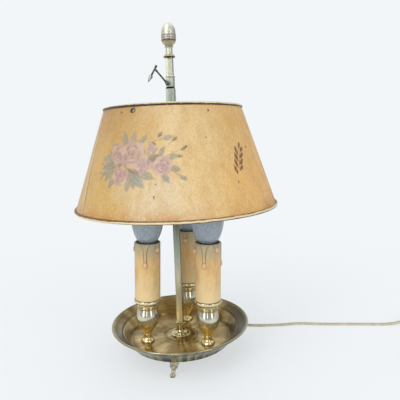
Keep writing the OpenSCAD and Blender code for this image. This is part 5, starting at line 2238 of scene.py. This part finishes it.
@dataclass
class Shade:
    """The painted shade with its rolled edges, screws, spider and slider.

    Each chip in its paint is an angle, a height, half a width and half a height.
    """

    top_r: float = 69.4
    bottom_r: float = 104.4
    sheet_t: float = 0.7
    steps: int = 240
    rows: int = 34
    seam_top: float = 199.0
    seam_bottom: float = 212.5
    seam_width: float = 10.5
    seam_line: float = 1.5
    seam_rise: float = 0.35
    spray_angle: float = 247.5
    spray_z: float = 218.0
    sprig_angle: float = 310.5
    sprig_z: float = 216.0
    top_bead_r: float = 1.7
    bottom_bead_r: float = 1.6
    spider_angles: tuple[float, float, float] = (240.0, 0.0, 120.0)
    screw_r: float = 1.4
    head_r: float = 2.5
    head_h: float = 1.1
    tab_down: float = 6.6
    wobble: float = 0.6
    chip_colour: str = "#4A3A28"
    chips: tuple[tuple[float, float, float, float], ...] = (
        (229.7, 261.5, 2.2, 0.8), (294.9, 260.4, 1.0, 1.6), (276.4, 230.1, 0.9, 0.9),
        (289.6, 237.2, 0.9, 0.8), (333.5, 245.1, 1.0, 0.8), (321.5, 227.1, 1.1, 1.2),
        (259.0, 199.5, 0.9, 0.8), (258.3, 189.0, 0.8, 1.3), (305.5, 197.7, 0.8, 0.8),
        (30.0, 228.0, 1.2, 0.9), (75.0, 205.0, 1.0, 1.6), (131.0, 240.0, 1.4, 0.9),
        (160.0, 190.0, 1.0, 1.0))
    flowers: PaintedFlowers = field(default_factory=PaintedFlowers)

    def wall_r(self, height: float) -> float:
        """The wall's outer radius at a height."""
        return self.bottom_r + (self.top_r - self.bottom_r) * (height - SHADE_Z) / SHADE_H

    def seam_angle(self, height: float) -> float:
        """The angle of the sheet's lapped edge at a height."""
        share = (height - SHADE_Z) / SHADE_H
        return self.seam_bottom + (self.seam_top - self.seam_bottom) * share

    def build_wall(self) -> Piece:
        """Models the sheet: a cone with a lapped seam, dense where it is painted.

        Returns:
            The sheet.
        """
        low, high = SHADE_Z + 1.6, SHADE_TOP_Z - 1.7
        rows = [low + (high - low) * i / self.rows for i in range(self.rows + 1)]
        outer = [(self.wall_r(z), z) for z in rows]
        inner = [(self.wall_r(z) - self.sheet_t, z) for z in reversed(rows[::4])]
        wall = turned("painted_shade_wall", outer + inner, self.steps, 50.0)
        for vertex in wall.data.vertices:
            turn = math.radians(self.seam_angle(vertex.co.z / MM))
            vertex.co = Matrix.Rotation(turn, 3, "Z") @ vertex.co
        with shaping(wall):
            pick(wall, self.on_lap)
            bpy.ops.mesh.extrude_region_shrink_fatten(
                TRANSFORM_OT_shrink_fatten={"value": self.seam_rise * MM})
            for test in (self.on_spray, self.on_sprig, self.on_chips):
                pick(wall, test)
                bpy.ops.mesh.subdivide(number_cuts=3)
        return wall

    def near(self, face: Face, angle: float, height: float, reach: Place) -> bool:
        """Whether a face lies on the outside, near a place.

        Args:
            face: The face.
            angle: The place's angle, in degrees.
            height: The place's height.
            reach: How far the face may lie from it, in degrees and in millimetres.

        Returns:
            Whether it does.
        """
        middle = face.calc_center_median() / MM
        around = math.degrees(math.atan2(middle.y, middle.x)) % 360
        outside = face.normal.x * middle.x + face.normal.y * middle.y > 0
        return (outside and abs(around - angle) < reach[0]
                and abs(middle.z - height) < reach[1])

    def on_lap(self, face: Face) -> bool:
        """Whether a face is on the raised strip, which ends beside the seam's dark line.

        Args:
            face: The face.

        Returns:
            Whether it is.
        """
        height = face.calc_center_median().z / MM
        middle = self.seam_angle(height) - (self.seam_width + self.seam_line) / 2
        half = (self.seam_width - self.seam_line) / 2
        return self.near(face, middle, height, (half, SHADE_H))

    def on_spray(self, face: Face) -> bool:
        """Whether a face is under the spray of roses."""
        return self.near(face, self.spray_angle, self.spray_z, (34, 29))

    def on_sprig(self, face: Face) -> bool:
        """Whether a face is under the small sprig."""
        return self.near(face, self.sprig_angle, self.sprig_z, (8, 18))

    def on_chips(self, face: Face) -> bool:
        """Whether a face is where the paint has chipped."""
        return any(self.near(face, angle, z, (2.6, 4)) for angle, z, *_ in self.chips)

    def paintings(self) -> list[Painting]:
        """Gathers all that is painted or chipped.

        Returns:
            The angle, the height and the marks of each.
        """
        layers = [(self.spray_angle, self.spray_z, self.flowers.spray()),
                  (self.sprig_angle, self.sprig_z, self.flowers.small_sprig())]
        for angle, height, wide, tall in self.chips:
            layers.append((angle, height, [
                Stroke(0, 0, max(wide, tall), min(wide, tall), 90 if tall > wide else 0,
                       self.chip_colour, 0.9)]))
        return layers

    def colour_at(self, layers: Sequence[Painting], angle: float, height: float,
                  radius: float) -> tuple[Vector, float]:
        """Mixes the marks that lie over each other at a place.

        Args:
            layers: The paintings.
            angle: The place's angle, in degrees.
            height: Its height.
            radius: Its radius.

        Returns:
            The paint's colour, and how well it covers.
        """
        colour, cover = Vector(linear(self.flowers.rose)[:3]), 0.0
        for centre, middle, marks in layers:
            off = between(angle, centre)
            if abs(off) > 36 or abs(height - middle) > 32:
                continue
            ripple = noise.noise_vector(Vector((off, height, 0.0)) * 0.5) * self.wobble
            across = math.radians(off) * radius + ripple.x
            up = height - middle + ripple.y
            for stroke in marks:
                part = stroke.reach(across, up)
                if part > 0:
                    whole = part + cover * (1 - part)
                    colour = colour.lerp(Vector(linear(stroke.colour)[:3]), part / whole)
                    cover = whole
        return colour, cover

    def paint(self, wall: Piece) -> None:
        """Writes the flowers, the chips, the lap and the seam to the wall's points.

        Args:
            wall: The wall.
        """
        layers = self.paintings()
        colours, covers, laps, seams = [], [], [], []
        for vertex in wall.data.vertices:
            x, y, z = vertex.co / MM
            radius = math.hypot(x, y)
            angle = math.degrees(math.atan2(y, x)) % 360
            past = between(angle, self.seam_angle(z))
            laps.append(float(-self.seam_width < past < -0.5))
            seams.append(float(abs(past) < 0.5))
            outside = radius > self.wall_r(z) - 0.3
            colour, cover = self.colour_at(layers if outside else (), angle, z, radius)
            colours.extend((*colour, 1.0))
            covers.append(cover)
        attribute = wall.data.attributes.new("flower", "FLOAT_COLOR", "POINT")
        attribute.data.foreach_set("color", colours)
        for name, values in (("cover", covers), ("lap_sheen", laps), ("seam", seams)):
            mark(wall, name, values)

    def line_inside(self, wall: Piece) -> None:
        """Paints the wall outside, and cream inside.

        Args:
            wall: The wall.
        """
        lining = MouldedPlastic("cream_inside_paint", "#F0E6C6", "#DFD2AB", 0.5, 1.4).make()
        wall.data.materials.append(PaintedSheet().make())
        wall.data.materials.append(lining)
        for face in wall.data.polygons:
            middle = face.center
            if face.normal.x * middle.x + face.normal.y * middle.y < 0:
                face.material_index = 1

    def shifted(self, piece: Piece) -> Piece:
        """Moves a piece to where the shade hangs."""
        piece.data.transform(shift(SHADE_SHIFT, 0, 0))
        return piece

    def build_rim(self, name: str, node: str, centre: Place, radius: float,
                  finish: RimPaint) -> None:
        """Turns a rolled edge with its wire inside.

        Args:
            name: The piece's name.
            node: The CAD node that it stands for.
            centre: The middle of its section.
            radius: The section's radius.
            finish: Its paint.
        """
        outline = arc_points(centre, radius, 0, 360, 20)[:-1]
        rim = self.shifted(turned(name, outline, 192, 60.0))
        dress(rim, finish.make(), Body.SHADE, [node])

    def on_wall(self, angle: float) -> Matrix:
        """The place on the wall at the screws' height, with +Z along the wall's normal."""
        lean = math.atan2(self.bottom_r - self.top_r, SHADE_H)
        foot = shift(SHADE_SHIFT, 0, 0) @ round_the_stem(angle, self.wall_r(SCREW_Z), SCREW_Z)
        return foot @ Matrix.Rotation(-lean, 4, "Y") @ turn_by(90, "Y")

    def build_screws(self) -> None:
        """Makes the three slotted screws as one piece."""
        r, h = self.head_r, self.head_h
        outline = [(0, -5), (self.screw_r, -5), (self.screw_r, 0), (r, 0), (r, 0.4)]
        outline += bend_points((r * 0.95, 0.62), (r * 0.6, h), (0, h), 8)
        pattern = turned("screw_pattern", outline, 48)
        pattern = cut(pattern, block("slot", (-0.32, -4, h - 0.55), (0.32, 4, h + 1)))
        smooth(pattern, 35.0)
        screws = []
        for i, angle in enumerate(self.spider_angles):
            turn = turn_by(35 + 50 * i, "Z")
            screws.append(copied(pattern, f"screw_{i}", self.on_wall(angle) @ turn))
        discard(pattern)
        dress(joined("slotted_shade_screws", screws),
              AgedBrass("blackened_brass_screws", bright="#8F8672", dull="#5A5142",
                        tarnish="#2A241C", roughness=0.34, patch_mm=2.0).make(),
              Body.SHADE, ["spider_screws"])

    def square_tube(self, name: str, side: float, bore: float, low: float, high: float) -> Piece:
        """Makes a square tube round the stem's axis.

        Args:
            name: Its name.
            side: Its side, in millimetres.
            bore: Its bore's side.
            low: The height of its foot.
            high: The height of its top.

        Returns:
            The tube.
        """
        outer = rounded(block(name, (-side / 2, -side / 2, low), (side / 2, side / 2, high)), 0.4)
        bore_tool = block("bore", (-bore / 2, -bore / 2, low - 1), (bore / 2, bore / 2, high + 1))
        return cut(outer, bore_tool)

    def build_slider(self) -> None:
        """Makes the tube and the collar that slide on the stem."""
        turn = turn_by(-STEM_TURN, "Z")
        bore = STEM_SIDE + 0.2
        plate = StemPlate("worn_plated_brass_tube", pale="#A5AE9F")
        tube = self.square_tube("slider_sleeve", 8.7, bore, SCREW_Z - self.tab_down, COLLAR_Z)
        tube.data.transform(turn)
        dress(smooth(tube, 40.0), plate.make(), Body.SHADE, ["slider_tube"])
        low = self.square_tube("collar", 7.8, bore, COLLAR_Z, COLLAR_TOP_Z)
        bead = self.square_tube("bead", 8.6, bore, COLLAR_TOP_Z - 1.4, COLLAR_TOP_Z)
        foot = self.square_tube("foot", 8.2, bore, COLLAR_Z, COLLAR_Z + 0.8)
        boss = turned("boss", [(1.35, 3.6), (1.6, 3.6), (1.6, 5.3), (1.4, 5.5), (1.35, 5.5)], 40)
        boss.data.transform(shift(-2.2, 0, KEY_Z) @ turn_by(90, "X"))
        collar = joined("locking_collar", [low, bead, foot, boss])
        collar.data.transform(turn)
        # Bands: black at the foot as the painted shadow of the collar's edge, and a dark line under
        # the bead as painted shade; the +X side is darkened as painted shade.
        brass = BandedBrass("worn_plated_brass_collar", COLLAR_Z, COLLAR_TOP_Z, (
            (0.0, "#1A1D16"), (0.12, "#1A1D16"), (0.145, "#B4B9AC"), (0.8, "#C3C8BA"),
            (0.87, "#7D8175"), (0.91, "#DADCCB"), (1.0, "#E2E3D2")), "#353A30",
            metallic=0.75, shaded_sides=(0.0, 0.9))
        dress(smooth(collar, 40.0), brass.make(), Body.SHADE, ["slider_collar"])

    def build(self) -> None:
        """Builds the shade's pieces."""
        wall = self.build_wall()
        self.paint(wall)
        self.line_inside(wall)
        self.shifted(wall)
        dress(smooth(wall, 50.0), wall.data.materials[0], Body.SHADE, ["shade"])
        # Top edge: dark brown paint with painted shade on its lower half, and a pale upper half as
        # a painted reflection.
        self.build_rim("rolled_top_edge", "shade_top_rim",
                       (self.top_r + 0.1, SHADE_TOP_Z - self.top_bead_r), self.top_bead_r,
                       RimPaint("top_edge_paint", SHADE_TOP_Z - 3.4, SHADE_TOP_Z, (
                           (0.0, "#8A6738"), (0.14, "#4A3620"), (0.3, "#33271A"),
                           (0.56, "#3A2C1C"), (0.7, "#CDBB97"), (1.0, "#DCCFB2")), 0.008))
        # Bottom edge: a pale bead with its dark underside as painted shadow, and a brown line where
        # it meets the sheet as painted shade.
        self.build_rim("rolled_bottom_edge", "shade_bottom_rim",
                       (self.bottom_r - 0.4, SHADE_Z + self.bottom_bead_r), self.bottom_bead_r,
                       RimPaint("bottom_edge_paint", SHADE_Z, SHADE_Z + 3.2, (
                           (0.0, "#3E3222"), (0.16, "#4F3D24"), (0.3, "#CDBB92"),
                           (0.66, "#E2D2AA"), (0.8, "#7A5A30"), (1.0, "#6A4C28")), -0.006))
        self.build_screws()
        self.build_slider()
        dress_nodes(AgedBrass("stamped_brass_spider", roughness=0.3).make(), "spider")
        dress_nodes(PlatedSteel("zinc_plated_spider_nuts").make(), "spider_nuts")


# Arrow key and finial


@dataclass
class ArrowKey:
    """The locking screw with its arm and the arrow at the arm's end."""

    aside: float = 2.2
    plane: float = 6.6
    arm_l: float = 19.0
    angle: float = 129.0
    arrow_l: float = 18.5
    tail_l: float = 3.3
    cant: float = 110.0

    def in_plane(self, place: Place, way: float) -> Matrix:
        """A place in the key's plane, with +Z along a way given in degrees."""
        there = shift(place[0] - self.aside, -self.plane, KEY_Z + place[1])
        return turn_by(-STEM_TURN, "Z") @ there @ turn_by(90 - way, "Y")

    def build(self) -> None:
        """Builds the screw, the arm and the arrow."""
        iron = PlatedSteel("dulled_nickel_arm", "#6E7264", "#42443A", 0.34).make()
        pale = PlatedSteel("polished_nickel_arrow", "#DCDAD0", "#B2AF9F", 0.22).make()
        screw = turned("key_screw_hub", [
            (0, 3.5), (1.3, 3.5), (1.3, 5.8), (1.7, 5.8), (1.85, 6.1), (1.85, 7.0), (1.6, 7.3),
            (0.9, 7.55), (0, 7.6)], 48)
        screw.data.transform(turn_by(-STEM_TURN, "Z") @ shift(-self.aside, 0, KEY_Z)
                             @ turn_by(90, "X"))
        dress(screw, iron, Body.KEY, ["key_screw"])
        arm = turned("key_curved_arm", [
            (0, 1.4), (1.2, 1.4), (1.15, 2.6), (0.95, 4.0), (0.9, 9.0), (0.92, 15.0),
            (1.05, 17.2), (1.2, 18.1), (0.95, 18.9), (0, 19.0)], 32)
        arm.data.transform(self.in_plane((0, 0), self.angle))
        dress(arm, iron, Body.KEY, ["key_arm"])
        end = tuple(self.arm_l * part for part in way_of(self.angle))
        way = self.angle + self.cant
        shaft_l = self.arrow_l - 6.8
        shaft = turned("shaft", [
            (0, 0), (0.7, 0), (0.95, 0.4), (0.95, shaft_l + 1), (0, shaft_l + 1)], 32)
        head = turned("head", [
            (0, shaft_l), (0.95, shaft_l), (2.0, shaft_l - 0.8), (1.9, shaft_l + 0.4),
            (1.4, shaft_l + 2.4), (0.75, shaft_l + 4.8), (0, self.arrow_l)], 32)
        head.data.transform(Matrix.Diagonal((1.1, 0.55, 1.0, 1.0)))
        vanes = []
        for turn in (0, 90):
            vane = block("vane", (-1.2, -0.22, 0.1), (1.2, 0.22, 2.9))
            for vertex in vane.data.vertices:
                if abs(vertex.co.x) > 1 * MM:
                    vertex.co.z -= 0.7 * MM
            vane = rounded(vane, 0.15, 2)
            vane.data.transform(turn_by(turn, "Z"))
            vanes.append(vane)
        for piece in [shaft] + vanes:
            piece.data.materials.append(iron)
        head.data.materials.append(pale)
        arrow = joined("key_feathered_arrow", [head, shaft] + vanes)
        arrow.data.transform(self.in_plane(end, way) @ shift(0, 0, -self.tail_l))
        dress(smooth(arrow, 40.0), pale, Body.KEY, ["key_arrow"])


@dataclass
class AcornFinial:
    """The turned acorn on the stem's top."""

    height: float = 33.8
    radius: float = 7.5

    def build(self) -> None:
        """Builds the finial."""
        h, r = self.height, self.radius
        bore = PIN_R + 0.05
        dome = h * 0.665
        outline = [(bore, 0), (r * 0.77, 0), (r * 0.79, h * 0.008), (r * 0.79, h * 0.024),
                   (r * 0.77, h * 0.03)]
        outline += bend_points((r * 0.74, h * 0.045), (r * 0.46, h * 0.1), (r * 0.46, h * 0.17), 12)
        outline += [(r * 0.45, h * 0.26), (r * 0.53, h * 0.285), (r * 0.56, h * 0.295),
                    (r * 0.56, h * 0.315), (r * 0.53, h * 0.325), (r * 0.5, h * 0.33)]
        outline += bend_points((r * 0.6, h * 0.36), (r * 0.9, h * 0.41), (r * 0.97, h * 0.49), 12)
        outline += [(r, h * 0.5), (r, h * 0.535), (r * 0.96, h * 0.545), (r * 0.96, h * 0.555),
                    (r, h * 0.57), (r, h * 0.595), (r * 0.97, h * 0.602), (r * 0.97, h * 0.61),
                    (r * 0.995, h * 0.62), (r * 0.995, h * 0.65)]
        for i in range(25):
            turn = math.pi / 2 * i / 24
            outline.append((r * 0.97 * math.cos(turn) if i < 24 else 0.0,
                            dome + (h - dome) * math.sin(turn) ** 0.9))
        outline += [(0, PIN_L + 1), (bore, PIN_L + 1)]
        base = STEM_TOP_Z + 0.1
        finial = turned("acorn_finial", [(a, b + base) for a, b in outline], 96, 34.0)
        # Bands: pale cream and pinkish grey, with a darker underside and dark lines under the base
        # disc, the ring and the widest swell as painted shade; its sides are darkened as painted
        # shade.
        brass = BandedBrass("pale_turned_brass_acorn", base, base + h, (
            (0.0, "#4A4334"), (0.03, "#CFC3A0"), (0.22, "#ECE8D4"), (0.285, "#D8D0B4"),
            (0.3, "#8C8168"), (0.33, "#CDC4A6"), (0.42, "#BEB599"), (0.46, "#9A8F76"),
            (0.485, "#4C4436"), (0.505, "#D8CEC6"), (0.555, "#BDB3A9"), (0.585, "#DED6CE"),
            (0.625, "#B4AA9F"), (0.66, "#E4DFCD"), (1.0, "#EFEDE0")),
            roughness=0.36, shaded_sides=(0.2, 0.75), wear=0.1)
        dress(finial, brass.make(), Body.FINIAL, ["finial"])


@dataclass
class Fittings:
    """The small parts out of sight, which keep their CAD shape."""

    def build(self) -> None:
        """Dresses each of them."""
        for finish, nodes in (
                (PlatedSteel("zinc_plated_steel"), (
                    "foot_studs", "stem_washer", "stem_nut", "cup_washers", "cup_nuts",
                    "holder_nipples")),
                (AgedBrass("sheet_brass_contacts", roughness=0.3), (
                    "holder_shells", "holder_contacts")),
                (MouldedPlastic("cream_pvc_leads", "#CFC6A3", "#B8AE8A", 0.45), (
                    "holder_leads", "supply_lead")),
                (MouldedPlastic("white_nylon_block", "#DAD8CC", "#C4C2B4", 0.5), (
                    "terminal_block",)),
                (MouldedPlastic("grey_rubber_bush", "#4A463F", "#38352F", 0.6), (
                    "cord_bush",))):
            dress_nodes(finish.make(), *nodes)


def main() -> None:
    """Builds the scene's pieces in order."""
    logging.basicConfig(level=logging.INFO, format="%(name)s %(message)s")
    for assembly in (Studio(), SwitchAndPlug(), FlatCord(), TrayBase(), CastFeet(), Stem(),
                     CandleLights(), Shade(), ArrowKey(), AcornFinial(), Fittings()):
        assembly.build()


if __name__ == "__main__":
    main()
